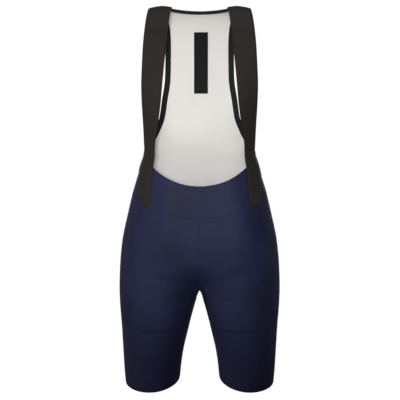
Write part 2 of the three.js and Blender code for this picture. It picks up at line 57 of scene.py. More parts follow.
SCOOP_CENTRE = -380.0
WAIST_SIDE = -313.0
YOKE_SEAM_CENTRE = -449.0
YOKE_SEAM_SIDE = -402.5
BACK_SEAM_CENTRE = -440.0
CROTCH = -622.0
THIGH_SEAM = -698.0
THIGH_SEAM_SIDE = -642.0
NECK_CENTRE = -9.5
NECK_END = -3.7
YOKE_WRAP = 0.56
THIGH_SEAM_CORNER = 0.3
SIDE_SEAM_RISE = 90.0
SCOOP_POWER = 1.1
YOKE_SEAM_POWER = 1.15
BACK_SEAM_POWER = 1.8
THIGH_SEAM_POWER = 0.55
BACK_ROW_POWER = 1.5
LOWEST_UNDER = -720.0
HIGHEST_UNDER = -540.0
UNDER_HALVINGS = 36
EDGE_STEP = 0.05
SEAM_STEP = 0.01
HEIGHT_STEP = 0.5
FOLD_RADIUS = 3.0
DIP_FRONT = -545.0
DIP_BACK = -505.0
DIP_END_SLOPE = 0.6
GUSSET_HALF_WIDTH = 23.4
GUSSET_FRONT = -606.0
GUSSET_BACK = -580.0
GUSSET_CORNER_DROP = 4.0
ARMHOLE_BAND = 12.6
NECK_BAND_DROP = 6.8
NECK_HALF_WIDTH = 62.5
PATCH_WIDTH = 31.0
PATCH_TOP = -54.0
PATCH_BOTTOM = -191.0
PATCH_OFFSET = 3.0


class Half(Enum):
    """The front or the back of the body."""

    FRONT = "front"
    BACK = "back"


@dataclass(frozen=True)
class Section:
    """One level of the body: half width, where it is deepest, depth to the front and back, y of the widest line."""

    z: float
    side: float
    middle: float
    front: float
    back: float
    centre: float = 0.0


BODY = (
    Section(0, 166, 70, 4, 4),
    Section(-2, 166, 70, 14, 14),
    Section(-6, 165, 70, 25, 25),
    Section(-12, 164, 70, 37, 38),
    Section(-25, 162, 70, 50, 53),
    Section(-50, 158, 69, 66, 68),
    Section(-100, 150, 68, 88, 82),
    Section(-150, 143, 66, 100, 88),
    Section(-200, 136, 62, 104, 87),
    Section(-250, 129, 57, 98, 82),
    Section(-317, 122, 50, 88, 76),
    Section(-342, 130, 51, 92, 78),
    Section(-377, 138.5, 54, 97, 82),
    Section(-402, 146, 58, 100, 88),
    Section(-450, 157.5, 65, 104, 100),
    Section(-500, 168.5, 72, 105, 114),
    Section(-545, 174, 79, 102, 122),
    Section(-590, 176.5, 85, 99, 121),
    Section(-622, 177, 88, 98, 113),
    Section(-660, 175.3, 93, 95, 99, -1),
    Section(-700, 172.5, 97.5, 89, 87),
    Section(-750, 170, 101.5, 79, 76, 2),
    Section(-800, 167.5, 104.5, 69, 67, 4),
    Section(-850, 163.5, 106, 63, 62, 6),
)

LEG_GAP = ((-622, 0), (-627, 3.3), (-645, 8.9), (-681, 18.9), (-720, 28.4), (-754, 36.2), (-790, 41.6), (-850, 47))
HEM = ((0, -819), (0.25, -840), (0.5, -830), (0.75, -812), (1, -819))
ARMHOLE = (
    (110, -6.3), (101, -13), (89, -24), (80, -40), (77, -64), (76.5, -100),
    (78, -160), (84.5, -205), (89.5, -241), (95, -258), (103.5, -279), (113, -297),
)


@dataclass(frozen=True)
class StrapRow:
    """One cross line of a strap: its middle, turn to the side in degrees, width, bulge and droop of the outer edge."""

    x: float
    y: float
    z: float
    turn: float
    width: float
    crown: float
    sag: float = 0.0


STRAP = (
    StrapRow(82, 33.5, -8.4, -3, 44, 0),
    StrapRow(85, 23.8, -6.1, -3, 50, 0),
    StrapRow(85, 0, 0.9, 0, 50, 0.5, 5),
    StrapRow(86.5, -24, -6.5, 0, 50, 0.5, 4),
    StrapRow(88.5, -43, -20, 1, 50, 0.8, 2),
    StrapRow(91, -62, -42, 3, 50, 1),
    StrapRow(94.5, -81, -78, 8, 50, 1.2),
    StrapRow(98, -96, -125, 16, 49, 1.5),
    StrapRow(100.5, -102, -165, 24, 49, 1.8),
    StrapRow(102, -99, -205, 33, 48, 2),
    StrapRow(104, -86, -245, 45, 47, 2.4),
    StrapRow(107, -67, -283, 56, 46, 2.8),
)
STRAP_ON_YOKE = ((-322, 30, 46), (-350, 38, 46), (-378, 46, 45), (-404, 58.5, 41))
STRAP_END_AWAY = 67.5
STRAP_END_WIDTH = 34.5
STRAP_RIDGE = 0.4
SAG_POWER = 1.6
STRAP_YOKE_KNOTS = 9


def lerp(first: Numbers, second: Numbers, share: Numbers) -> Numbers:
    """Straight blend from first to second."""
    return first + (second - first) * share


def smoothstep(at: Numbers, low: float, high: float) -> Array:
    """Soft 0 to 1 ramp between low and high."""
    share = np.clip((at - low) / (high - low), 0, 1)
    return share * share * (3 - 2 * share)


def unit(vectors: Array) -> Array:
    """The same vectors with length 1."""
    return vectors / np.maximum(np.linalg.norm(vectors, axis=-1, keepdims=True), 1e-12)


class Curve:
    """Smooth curve through a short table of keys and values."""

    def __init__(self, rows: Sequence[Sequence[float]]) -> None:
        """Sorts the table and finds its slopes.

        Args:
            rows: Pairs of a key and a value.
        """
        keys, values = (np.array(column, float) for column in zip(*sorted(rows)))
        slopes = np.diff(values) / np.diff(keys)
        self.keys = keys
        self.values = values
        self.tangents = np.concatenate([slopes[:1], (slopes[1:] + slopes[:-1]) / 2, slopes[-1:]])

    def __call__(self, at: Numbers) -> Array:
        """The value at a key.

        Args:
            at: Keys.
        Returns:
            The values.
        """
        i = np.clip(np.searchsorted(self.keys, at, side="right") - 1, 0, len(self.keys) - 2)
        span = self.keys[i + 1] - self.keys[i]
        t = (at - self.keys[i]) / span
        return (
            (2 * t**3 - 3 * t**2 + 1) * self.values[i]
            + (t**3 - 2 * t**2 + t) * span * self.tangents[i]
            + (3 * t**2 - 2 * t**3) * self.values[i + 1]
            + (t**3 - t**2) * span * self.tangents[i + 1]
        )


CENTRE_LINES = Curve([(row.z, row.centre) for row in BODY])
SIDES = Curve([(row.z, row.side) for row in BODY])
MIDDLES = Curve([(row.z, row.middle) for row in BODY])
DEPTHS = {
    Half.FRONT: Curve([(row.z, row.front) for row in BODY]),
    Half.BACK: Curve([(row.z, row.back) for row in BODY]),
}
INNER_GAP = Curve(LEG_GAP)
HEM_LINE = Curve(HEM)


def leg_gap(z: Numbers) -> Array:
    """Half the gap between the legs, 0 on the torso."""
    return np.where(np.asarray(z) >= CROTCH, 0.0, np.maximum(0.0, INNER_GAP(z)))


def soft_width(x: Numbers) -> Array:
    """Distance from the centre line with a soft bottom, for the fold between the legs."""
    return np.hypot(x, FOLD_RADIUS) - FOLD_RADIUS


def dip(z: Numbers, start: float, middle: Numbers) -> Array:
    """How far the section dips between the legs: 0 on the torso, 1 at the crotch, more below it.

    Args:
        z: Heights.
        start: Height where the dip begins.
        middle: Where the section is deepest.
    Returns:
        The share of the dip.
    """
    share = np.clip((start - z) / (start - CROTCH), 0, 1)
    torso = (3 - DIP_END_SLOPE) * share**2 + (DIP_END_SLOPE - 2) * share**3
    legs = (1 - soft_width(leg_gap(z)) / soft_width(middle)) ** -2.0
    return np.where(np.asarray(z) >= CROTCH, torso, legs)


def depth_at(x: Numbers, z: Numbers, half: Half) -> Array:
    """Depth of the body's section at a distance from the centre line.

    Args:
        x: Distances from the centre line.
        z: Heights.
        half: Which half.
    Returns:
        The depths.
    """
    middle, side, depth = MIDDLES(z), SIDES(z), DEPTHS[half](z)
    outer = np.sqrt(np.maximum(0, 1 - ((x - middle) / (side - middle)) ** 2))
    fall = dip(z, DIP_FRONT if half is Half.FRONT else DIP_BACK, middle)
    inner = np.sqrt(np.maximum(0, 1 - fall * (1 - soft_width(x) / soft_width(middle)) ** 2))
    return depth * np.where(x >= middle, outer, inner)


@dataclass(frozen=True)
class Spot:
    """Places on the cloth: points and the ways out of it, both in millimetres, shape (..., 3)."""

    points: Array
    normals: Array

    def lifted(self, distance: Numbers) -> Array:
        """The points moved out of the cloth."""
        return self.points + self.normals * np.asarray(distance)[..., None]


class BodyForm:
    """The filled-out body as a table over round (0 centre front, 0.5 side, 1 centre back) and height."""

    LOWEST = -850.0
    LEVEL_STEP = 0.5
    ARC_STEPS = 32
    SHARES = 256
    HALVINGS = 24

    def __init__(self) -> None:
        """Works out the tables of points, normals and lengths."""
        self.levels = np.arange(0.0, self.LOWEST - self.LEVEL_STEP / 2, -self.LEVEL_STEP)
        front, self.front_length = self._half(Half.FRONT)
        back, self.back_length = self._half(Half.BACK)
        self.points = np.concatenate([front, back[:, -2::-1]], axis=1)
        self.normals = self._normals()

    def _half(self, half: Half) -> tuple[Array, Array]:
        """Sections of one half, evenly spaced from the inner line to the side.

        Args:
            half: Which half.
        Returns:
            Points (levels, shares, 3) and the length of each section.
        """
        z = self.levels[:, None]
        angle = np.linspace(0, math.pi / 2, self.ARC_STEPS + 1)[None, :]
        middle, side, start = MIDDLES(z), SIDES(z), leg_gap(z)
        inner_x = middle - (middle - start) * np.cos(angle)
        inner_y = depth_at(inner_x, z, half)
        inner_y[:, 0] = np.where(start[:, 0] > 0, 0.0, inner_y[:, 0])
        outer_x = middle + (side - middle) * np.sin(angle[:, 1:])
        outer_y = depth_at(middle, z, half) * np.cos(angle[:, 1:])
        x, y = np.concatenate([inner_x, outer_x], 1), np.concatenate([inner_y, outer_y], 1)
        steps = np.hypot(np.diff(x, axis=1), np.diff(y, axis=1))
        along = np.concatenate([np.zeros_like(z), np.cumsum(steps, axis=1)], 1)
        even = np.linspace(0, 1, self.SHARES + 1)
        out = np.zeros((len(z), self.SHARES + 1, 3))
        for i in range(len(z)):
            at = even * along[i, -1]
            out[i, :, 0] = np.interp(at, along[i], x[i])
            out[i, :, 1] = np.interp(at, along[i], y[i])
        facing = -1 if half is Half.FRONT else 1
        out[:, :, 1] = CENTRE_LINES(z) + facing * out[:, :, 1]
        out[:, :, 2] = z
        return out, along[:, -1]

    def _normals(self) -> Array:
        """Ways out of the body, from the slopes of the table.

        Returns:
            Unit normals by level and share.
        """
        across = np.gradient(self.points, axis=1)
        up = -np.gradient(self.points, axis=0)
        normals = unit(np.cross(across, up))
        torso = self.levels >= CROTCH
        for edge in (0, -1):
            normals[torso, edge, 0] = 0
            normals[~torso, edge, 1] = 0
        return unit(normals)

    def _read(self, table: Array, round_: Array, z: Array) -> Array:
        """Value of a table between its entries.

        Args:
            table: Points or normals by level and share.
            round_: Round coordinates.
            z: Heights.
        Returns:
            The blended values.
        """
        row = np.clip(-z / self.LEVEL_STEP, 0, len(self.levels) - 1.001)
        column = np.clip(round_, 0, 1) * (table.shape[1] - 1.001)
        r, c = row.astype(int), column.astype(int)
        down, right = (row - r)[..., None], (column - c)[..., None]
        top = lerp(table[r, c], table[r, c + 1], right)
        return lerp(top, lerp(table[r + 1, c], table[r + 1, c + 1], right), down)

    def place(self, round_: Numbers, z: Numbers, side: Numbers = 1.0) -> Spot:
        """Places on the body.

        Args:
            round_: How far round the right half.
            z: Heights.
            side: 1 for the right half, -1 for the left one.
        Returns:
            The points and normals.
        """
        round_, z, side = np.broadcast_arrays(np.asarray(round_, float), np.asarray(z, float), np.asarray(side, float))
        flip = np.stack([side, np.ones_like(side), np.ones_like(side)], -1)
        return Spot(self._read(self.points, round_, z) * flip, unit(self._read(self.normals, round_, z)) * flip)

    def length(self, half: Half, z: Numbers) -> Array:
        """Length of a half section from the inner line to the side."""
        lengths = self.front_length if half is Half.FRONT else self.back_length
        return np.interp(-np.asarray(z, float), -self.levels, lengths)

    def around(self, round_: Numbers, z: Numbers) -> Array:
        """Distance round the body from the inner line over the front."""
        front, back = self.length(Half.FRONT, z), self.length(Half.BACK, z)
        return np.where(round_ <= 0.5, 2 * round_ * front, front + (2 * round_ - 1) * back)

    def from_inner(self, half: Half, distance: Numbers, z: Numbers) -> Array:
        """Round coordinate at a distance from the inner line of a half."""
        share = 0.5 * distance / self.length(half, z)
        return share if half is Half.FRONT else 1 - share

    def at_x(self, half: Half, x: Numbers, z: Numbers) -> Array:
        """Round coordinate where the body is x from the centre line.

        Args:
            half: Which half.
            x: Distances from the centre line.
            z: Heights.
        Returns:
            Round coordinates.
        """
        x, z = np.broadcast_arrays(np.asarray(x, float), np.asarray(z, float))
        low, high = np.zeros_like(x), np.full_like(x, 0.5)
        for _ in range(self.HALVINGS):
            middle = (low + high) / 2
            round_ = middle if half is Half.FRONT else 1 - middle
            short = self._read(self.points, round_, z)[..., 0] < x
            low, high = np.where(short, middle, low), np.where(short, high, middle)
        return low if half is Half.FRONT else 1 - low


@dataclass(frozen=True)
class Crease:
    """A soft ridge (height above 0) or trough (below 0) drawn on the body.

    path holds (round, z) places; side is the half that it lies on.
    """

    side: int
    path: tuple[tuple[float, float], ...]
    width: float
    height: float


CREASES = (
    Crease(1, ((0.03, -604), (0.12, -585), (0.24, -566), (0.36, -556)), 9, -0.9),
    Crease(1, ((0.02, -592), (0.1, -566), (0.19, -541)), 8, 0.55),
    Crease(-1, ((0.03, -607), (0.11, -592), (0.21, -578), (0.31, -571)), 8, -1.0),
    Crease(-1, ((0.02, -588), (0.09, -560), (0.15, -530)), 9, -0.5),
    Crease(1, ((0.06, -640), (0.14, -630), (0.25, -631)), 7, -0.6),
    Crease(-1, ((0.05, -646), (0.15, -633), (0.22, -637)), 8, -0.7),
    Crease(1, ((0.4, -378), (0.47, -370), (0.54, -374)), 6, -0.7),
    Crease(1, ((0.42, -350), (0.5, -343), (0.56, -347), (0.62, -358)), 6, -0.6),
    Crease(-1, ((0.41, -366), (0.48, -361), (0.57, -368)), 6, -0.8),
    Crease(-1, ((0.44, -338), (0.51, -333), (0.58, -342)), 5, -0.5),
    Crease(1, ((0.12, -776), (0.22, -782), (0.33, -774)), 8, -0.5),
    Crease(-1, ((0.16, -764), (0.27, -771), (0.39, -768)), 9, -0.55),
    Crease(1, ((0.95, -640), (0.85, -652), (0.74, -658), (0.64, -650)), 10, -1.4),
    Crease(1, ((0.93, -662), (0.82, -677), (0.72, -680)), 8, -0.9),
    Crease(-1, ((0.96, -636), (0.87, -649), (0.77, -656), (0.68, -652)), 11, -1.5),
    Crease(-1, ((0.9, -668), (0.8, -680), (0.69, -676)), 8, -0.8),
    Crease(1, ((0.98, -600), (0.92, -575), (0.85, -556)), 8, -0.8),
    Crease(-1, ((0.98, -603), (0.93, -580), (0.88, -565)), 9, -0.9),
    Crease(1, ((0.92, -455), (0.84, -438), (0.75, -425)), 8, -0.8),
    Crease(1, ((0.97, -432), (0.9, -408), (0.82, -386)), 9, -0.7),
    Crease(-1, ((0.93, -462), (0.86, -446), (0.78, -436)), 8, -0.7),
    Crease(-1, ((0.96, -425), (0.88, -398), (0.81, -380)), 9, -0.8),
    Crease(1, ((0.96, -120), (0.94, -190), (0.95, -260)), 11, -0.9),
    Crease(-1, ((0.95, -140), (0.93, -215), (0.94, -290)), 12, -0.8),
    Crease(1, ((0.87, -320), (0.79, -338), (0.72, -341)), 8, -0.8),
    Crease(-1, ((0.89, -330), (0.8, -344), (0.73, -344)), 8, -0.7),
    Crease(1, ((0.84, -742), (0.75, -750), (0.66, -744)), 8, -0.8),
    Crease(-1, ((0.88, -728), (0.78, -738), (0.7, -736)), 9, -0.7),
)


class CreaseField:
    """All the creases as one height over the body."""

    SAMPLES = 36
    CHUNK = 4000

    def __init__(self, body: BodyForm, creases: Sequence[Crease]) -> None:
        """Draws each crease on the body.

        Args:
            body: The body form.
            creases: The creases.
        """
        self.lines: list[tuple[Array, Array, Crease]] = []
        steps = np.linspace(0, 1, self.SAMPLES)
        for crease in creases:
            path = np.array(crease.path, float)
            keys = np.linspace(0, 1, len(path))
            round_ = Curve(list(zip(keys, path[:, 0])))(steps)
            z = Curve(list(zip(keys, path[:, 1])))(steps)
            fade = np.sin(math.pi * np.clip(steps, 0.0, 1.0)) ** 0.8
            self.lines.append((body.place(round_, z, crease.side).points, fade, crease))

    def height(self, points: Array) -> Array:
        """Height of the creases at points near the body.

        Args:
            points: Places in millimetres, shape (..., 3).
        Returns:
            Heights in millimetres, shape (...).
        """
        flat = points.reshape(-1, 3)
        total = np.zeros(len(flat))
        for line, fade, crease in self.lines:
            reach = 3 * crease.width
            near = np.all((flat > line.min(0) - reach) & (flat < line.max(0) + reach), axis=1)
            index = np.flatnonzero(near)
            for start in range(0, len(index), self.CHUNK):
                part = index[start : start + self.CHUNK]
                away = np.linalg.norm(flat[part, None] - line[None], axis=2)
                weight = np.exp(-((away / crease.width) ** 2)) * fade
                total[part] += crease.height * weight.max(axis=1)
        return total.reshape(points.shape[:-1])


def towards_side(round_: Array, power: float) -> Array:
    """How far a seam has climbed from the centre to the side."""
    return np.sin(math.pi * np.clip(round_, 0, 0.5)) ** (2 * power)


def scoop_edge(round_: Array) -> Array:
    """Height of the top edge of the front."""
    return lerp(SCOOP_CENTRE, WAIST_SIDE, towards_side(round_, SCOOP_POWER))


def yoke_seam(round_: Array) -> Array:
    """Height of the seam under the front yoke."""
    return lerp(YOKE_SEAM_CENTRE, YOKE_SEAM_SIDE, towards_side(round_, YOKE_SEAM_POWER))


def back_seam(round_: Array) -> Array:
    """Height of the seam between the seat and the back panel."""
    share = np.clip((round_ - YOKE_WRAP) / (1 - YOKE_WRAP), 0, 1)
    return lerp(BACK_SEAM_CENTRE, WAIST_SIDE, (1 - share) ** BACK_SEAM_POWER)


def side_seam(z: Array) -> Array:
    """Round coordinate of the seam between the thigh front and the seat.

    Args:
        z: Heights.
    Returns:
        Round coordinates.
    """
    share = np.clip((z - THIGH_SEAM) / (THIGH_SEAM_SIDE - THIGH_SEAM), 0, 1)
    low = lerp(THIGH_SEAM_CORNER, 0.5, share**THIGH_SEAM_POWER)
    high = lerp(0.5, YOKE_WRAP, smoothstep(z, THIGH_SEAM_SIDE, THIGH_SEAM_SIDE + SIDE_SEAM_RISE))
    return np.where(z <= THIGH_SEAM_SIDE, low, high)


@dataclass
class ClothSheet:
    """A grid of places that becomes one closed shell of cloth.

    spot has shape (rows, columns, 3); uv holds metres; edge is the painted edge shade, 1 on a marked edge; cells tells
    which cells exist.
    """

    spot: Spot
    uv: Array
    edge: Array
    cells: Array | None = None

    def mirrored(self) -> "ClothSheet":
        """The same sheet on the other side of the body.

        Returns:
            The mirrored sheet.
        """
        flip = np.array([-1.0, 1.0, 1.0])
        turned = Spot((self.spot.points * flip)[:, ::-1], (self.spot.normals * flip)[:, ::-1])
        uv = self.uv[:, ::-1] * np.array([-1.0, 1.0])
        return ClothSheet(turned, uv, self.edge[:, ::-1], None if self.cells is None else self.cells[:, ::-1])

    def area(self) -> float:
        """Area of one face in square millimetres.

        Returns:
            The area.
        """
        p = self.spot.points
        cells = np.linalg.norm(np.cross(p[1:, 1:] - p[:-1, :-1], p[1:, :-1] - p[:-1, 1:]), axis=2) / 2
        return float(cells.sum() if self.cells is None else cells[self.cells].sum())


def painted_edge_shade(points: Array, marked: Array, reach: float) -> Array:
    """How strongly shade is painted at each place: 1 on the marked ones, fading over reach.

    Args:
        points: Grid of places (rows, columns, 3).
        marked: Which of them are on the edge.
        reach: Fading distance in millimetres.
    Returns:
        Grid of values from 0 to 1.
    """
    flat, line = points.reshape(-1, 3), points[marked]
    away = np.full(len(flat), 1e9)
    for start in range(0, len(line), 64):
        part = line[start : start + 64]
        away = np.minimum(away, np.linalg.norm(flat[:, None] - part[None], axis=2).min(axis=1))
    return np.exp(-((away / reach) ** 2)).reshape(points.shape[:-1])


@dataclass(frozen=True)
class MeshData:
    """Corners, faces and values of a mesh, in millimetres."""

    points: Array
    faces: Array
    uv: Array
    edge: Array


def shell(sheet: ClothSheet, thickness: float, lift: Array | float, taper: float = 0.55) -> MeshData:
    """Closed shell: outer face, inner face and a wall round every free edge, a little thinner at the edge.

    Args:
        sheet: The grid of places.
        thickness: Thickness of the cloth.
        lift: Distance of the middle of the cloth from the sheet.
        taper: Share of the thickness left at the edge.
    Returns:
        The shell.
    """
    rows, columns = sheet.edge.shape
    cells = np.ones((rows - 1, columns - 1), bool) if sheet.cells is None else sheet.cells
    number = np.arange(rows * columns).reshape(rows, columns)
    quads = np.stack([number[:-1, :-1], number[:-1, 1:], number[1:, 1:], number[1:, :-1]], -1)[cells]
    sides = np.concatenate([quads[:, [i, (i + 1) % 4]] for i in range(4)])
    found = {(int(a), int(b)) for a, b in sides}
    free = np.array([(a, b) for a, b in found if (b, a) not in found])
    share = np.ones(rows * columns)
    share[free.ravel()] = taper
    used = np.zeros(rows * columns, bool)
    used[quads.ravel()] = True
    new = np.cumsum(used) - 1
    count = int(used.sum())
    half = (thickness / 2 * share).reshape(rows, columns)
    outer = sheet.spot.lifted(lift + half).reshape(-1, 3)[used]
    inner = sheet.spot.lifted(lift - half).reshape(-1, 3)[used]
    quads, free = new[quads], new[free]
    walls = np.stack([free[:, 1], free[:, 0], free[:, 0] + count, free[:, 1] + count], -1)
    faces = np.concatenate([quads, quads[:, ::-1] + count, walls])
    uv, edge = sheet.uv.reshape(-1, 2)[used], sheet.edge.ravel()[used]
    return MeshData(np.concatenate([outer, inner]), faces, np.tile(uv, (2, 1)), np.tile(edge, 2))


def make_object(name: str, data: MeshData, material: bpy.types.Material, sharp: float = 50.0) -> bpy.types.Object:
    """Object of a mesh, smooth but for its sharp edges.

    Args:
        name: Name of the object.
        data: Its mesh in millimetres.
        material: Its finish.
        sharp: Angle in degrees from which an edge is sharp.
    Returns:
        The object.
    """
    mesh = bpy.data.meshes.new(name)
    mesh.from_pydata((data.points * MM).tolist(), [], data.faces.tolist())
    corners = np.zeros(len(mesh.loops), np.int32)
    mesh.loops.foreach_get("vertex_index", corners)
    mesh.uv_layers.new(name="cloth").data.foreach_set("uv", data.uv[corners].astype(np.float32).ravel())
    # The edge attribute carries the painted edge shade to the materials.
    mesh.attributes.new("edge", "FLOAT", "POINT").data.foreach_set("value", data.edge.astype(np.float32))
    mesh.polygons.foreach_set("use_smooth", np.ones(len(mesh.polygons), bool))
    mesh.set_sharp_from_angle(angle=math.radians(sharp))
    mesh.materials.append(material)
    mesh.update()
    thing = bpy.data.objects.new(name, mesh)
    bpy.context.scene.collection.objects.link(thing)
    return thing


@dataclass
class Garment:
    """What every sub-assembly needs: the body, its creases, and a list of what was made."""

    body: BodyForm
    creases: CreaseField
    made: list[bpy.types.Object] = field(default_factory=list)

    def sheet(self, round_: Array, z: Array, side: Numbers = 1.0, reach: float = 3.0,
              marked: Array | None = None, cells: Array | None = None) -> ClothSheet:
        """Sheet from round coordinates and heights, lifted by the creases later.

        Args:
            round_: Grid of round coordinates.
            z: Grid of heights.
            side: 1 or -1, or a grid of them.
            reach: How far the painted edge shade reaches.
            marked: Grid that is true on the edges where shade is painted.
            cells: Which cells exist.
        Returns:
            The sheet.
        """
        spot = self.body.place(round_, z, side)
        across = self.body.around(round_, z) * side
        uv = np.stack([across, z], -1) * MM
        edge = np.zeros(z.shape) if marked is None else painted_edge_shade(spot.points, marked, reach)
        return ClothSheet(spot, uv, edge, cells)

    def add(self, name: str, node: str, slot: str, sheet: ClothSheet, thickness: float,
            material: bpy.types.Material, lift: float = 0.0) -> bpy.types.Object:
        """Piece of cloth that stands for a node of the frame.

        Args:
            name: Name of the piece.
            node: Node that it replaces.
            slot: Material slot of the record; not used.
            sheet: Its grid of places.
            thickness: Thickness of the cloth in millimetres.
            material: Its finish.
            lift: Distance of the cloth's middle from the sheet.
        Returns:
            The piece.
        """
        data = shell(sheet, thickness, lift + self.creases.height(sheet.spot.points))
        piece = make_object(name, data, material)
        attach(piece, "root")
        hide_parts(node)
        self.made.append(piece)
        LOG.info("%s: %d faces, one side %.0f mm2", name, len(data.faces), sheet.area())
        return piece


def grid_of(columns: Array, rows: Array) -> tuple[Array, Array]:
    """Columns and rows as two grids, rows first."""
    return np.meshgrid(columns, rows)


def border(shape: tuple[int, int], bottom: bool = False, top: bool = False, left: bool = False,
           right: bool = False) -> Array:
    """Grid that is true along the named edges.

    Args:
        shape: Rows and columns of the grid.
        bottom: Whether the first row is marked.
        top: Whether the last row is marked.
        left: Whether the first column is marked.
        right: Whether the last column is marked.
    Returns:
        The grid.
    """
    mark = np.zeros(shape, bool)
    mark[0] |= bottom
    mark[-1] |= top
    mark[:, 0] |= left
    mark[:, -1] |= right
    return mark


@dataclass
class ShortsPanels:
    """The stretch panels of the shorts: front yoke, thigh fronts, seat with legs, and gusset."""

    garment: Garment
    finish: bpy.types.Material
    thickness: float = LYCRA
    # Reach of the painted shade along the seams and cut edges.
    seam_shade_reach: float = 1.3
    side_shade_reach: float = 1.8

    def inner_edge(self, half: Half, z: Array) -> Array:
        """Round coordinate of a leg panel's inner edge: centre seam, gusset edge, inner leg seam.

        Args:
            half: Which half.
            z: Heights.
        Returns:
            Round coordinates.
        """
        body = self.garment.body
        corner = GUSSET_FRONT if half is Half.FRONT else GUSSET_BACK
        beside = body.at_x(half, GUSSET_HALF_WIDTH, z)
        plain = body.from_inner(half, 0.0, z)
        share = np.clip((z - (corner - GUSSET_CORNER_DROP)) / GUSSET_CORNER_DROP, 0, 1)
        return np.where(leg_gap(z) < GUSSET_HALF_WIDTH, lerp(beside, plain, share), plain)

    def yoke(self) -> ClothSheet:
        """Front yoke, from side to side under the scoop.

        Returns:
            The sheet.
        """
        share = np.linspace(-1, 1, 181)
        columns, rows = grid_of(share, np.linspace(0, 1, 30))
        round_ = np.abs(columns) * YOKE_WRAP
        z = lerp(yoke_seam(round_), scoop_edge(round_), rows)
        side = np.where(columns < 0, -1.0, 1.0)
        # Painted shade along all four edges of the yoke; under the yoke it is weaker towards the centre front.
        sheet = self.garment.sheet(round_, z, side, self.seam_shade_reach, border(z.shape, True, True, True, True))
        sheet.edge[rows < 0.5] *= lerp(0.3, 1.0, smoothstep(np.abs(columns), 0.35, 0.6))[rows < 0.5]
        return sheet

    def leg_sheet(self, half: Half, columns: int, lower: Array, top: float, upper: int, band: bool) -> ClothSheet:
        """Right panel of the leg on one half of the body.

        Args:
            half: Which half.
            columns: Steps from seam to seam.
            lower: Heights of the level rows, the last one at top.
            top: Height from which the rows climb to the upper seam.
            upper: Rows above it.
            band: Whether the lower leg all round belongs to it.
        Returns:
            The sheet.
        """
        front = half is Half.FRONT
        climb = np.linspace(0, 1, upper + 1)[1:]
        level = np.concatenate([lower, np.full(upper, top)])[:, None]
        share = np.linspace(0, 1, columns + 1)[None, :]

        def round_at(z: Array) -> Array:
            """Round coordinates of the columns at these heights.

            Args:
                z: Heights.
            Returns:
                Round coordinates.
            """
            if front:
                return lerp(self.inner_edge(half, z), side_seam(z), share)
            return lerp(side_seam(z), self.inner_edge(half, z), share)

        z = np.repeat(level, columns + 1, axis=1)
        if front:
            seam = yoke_seam(round_at(np.full((1, 1), top)))
        else:
            seam = back_seam(lerp(YOKE_WRAP, 1, share))
        z[len(lower) :] = lerp(top, seam, climb[:, None])
        round_ = round_at(z)
        if not band:
            # Painted shade along the thigh seam and the side seam.
            return self.garment.sheet(round_, z, 1.0, self.side_shade_reach, border(z.shape, bottom=True, right=True))
        return self.with_band(round_, z, columns)

    def with_band(self, round_: Array, z: Array, columns: int) -> ClothSheet:
        """The seat with the lower leg all round added under it.

        Args:
            round_: Round coordinates of the seat.
            z: Its heights.
            columns: Its steps from seam to seam.
        Returns:
            The joined sheet; its cells leave out the thigh front.
        """
        front_columns, band_rows = 40, 44
        fore = np.linspace(0.0, THIGH_SEAM_CORNER, front_columns + 1)
        aft = np.linspace(THIGH_SEAM_CORNER, 1.0, columns + 1)[1:]
        band_round = np.repeat(np.concatenate([fore, aft])[None], band_rows, axis=0)
        rise = np.linspace(0, 1, band_rows, endpoint=False)[:, None]
        band_z = lerp(HEM_LINE(band_round), THIGH_SEAM, rise)
        pad_round = np.repeat(fore[None, :-1], len(z), axis=0)
        pad_z = np.repeat(z[:, :1], front_columns, axis=1)
        all_round = np.concatenate([band_round, np.concatenate([pad_round, round_], 1)])
        all_z = np.concatenate([band_z, np.concatenate([pad_z, z], 1)])
        cells = np.ones((all_z.shape[0] - 1, all_z.shape[1] - 1), bool)
        cells[band_rows:, :front_columns] = False
        # Painted shade along the hem, the back seam, the inner leg seams, the thigh seam and the side seam.
        marked = border(all_z.shape, bottom=True, top=True, right=True)
        marked[:band_rows, 0] = True
        marked[band_rows, : front_columns + 1] = True
        marked[band_rows:, front_columns] = True
        return self.garment.sheet(all_round, all_z, 1.0, self.side_shade_reach, marked, cells)

    def thigh_front(self) -> ClothSheet:
        """Right thigh front, from the yoke seam to the thigh seam.

        Returns:
            The sheet.
        """
        corner = GUSSET_FRONT - GUSSET_CORNER_DROP
        lower = np.concatenate([
            np.linspace(THIGH_SEAM, corner, 34, endpoint=False),
            np.linspace(corner, GUSSET_FRONT, 5, endpoint=False),
            np.linspace(GUSSET_FRONT, DIP_FRONT, 24),
        ])
        return self.leg_sheet(Half.FRONT, 76, lower, DIP_FRONT, 44, False)

    def seat_leg(self) -> ClothSheet:
        """Right half of the seat, back of the thigh and lower leg all round.

        Returns:
            The sheet.
        """
        corner = GUSSET_BACK - GUSSET_CORNER_DROP
        lower = np.concatenate([
            np.linspace(THIGH_SEAM, corner, 44, endpoint=False),
            np.linspace(corner, GUSSET_BACK, 5, endpoint=False),
            np.linspace(GUSSET_BACK, DIP_FRONT, 14),
        ])
        return self.leg_sheet(Half.BACK, 84, lower, DIP_FRONT, 56, True)

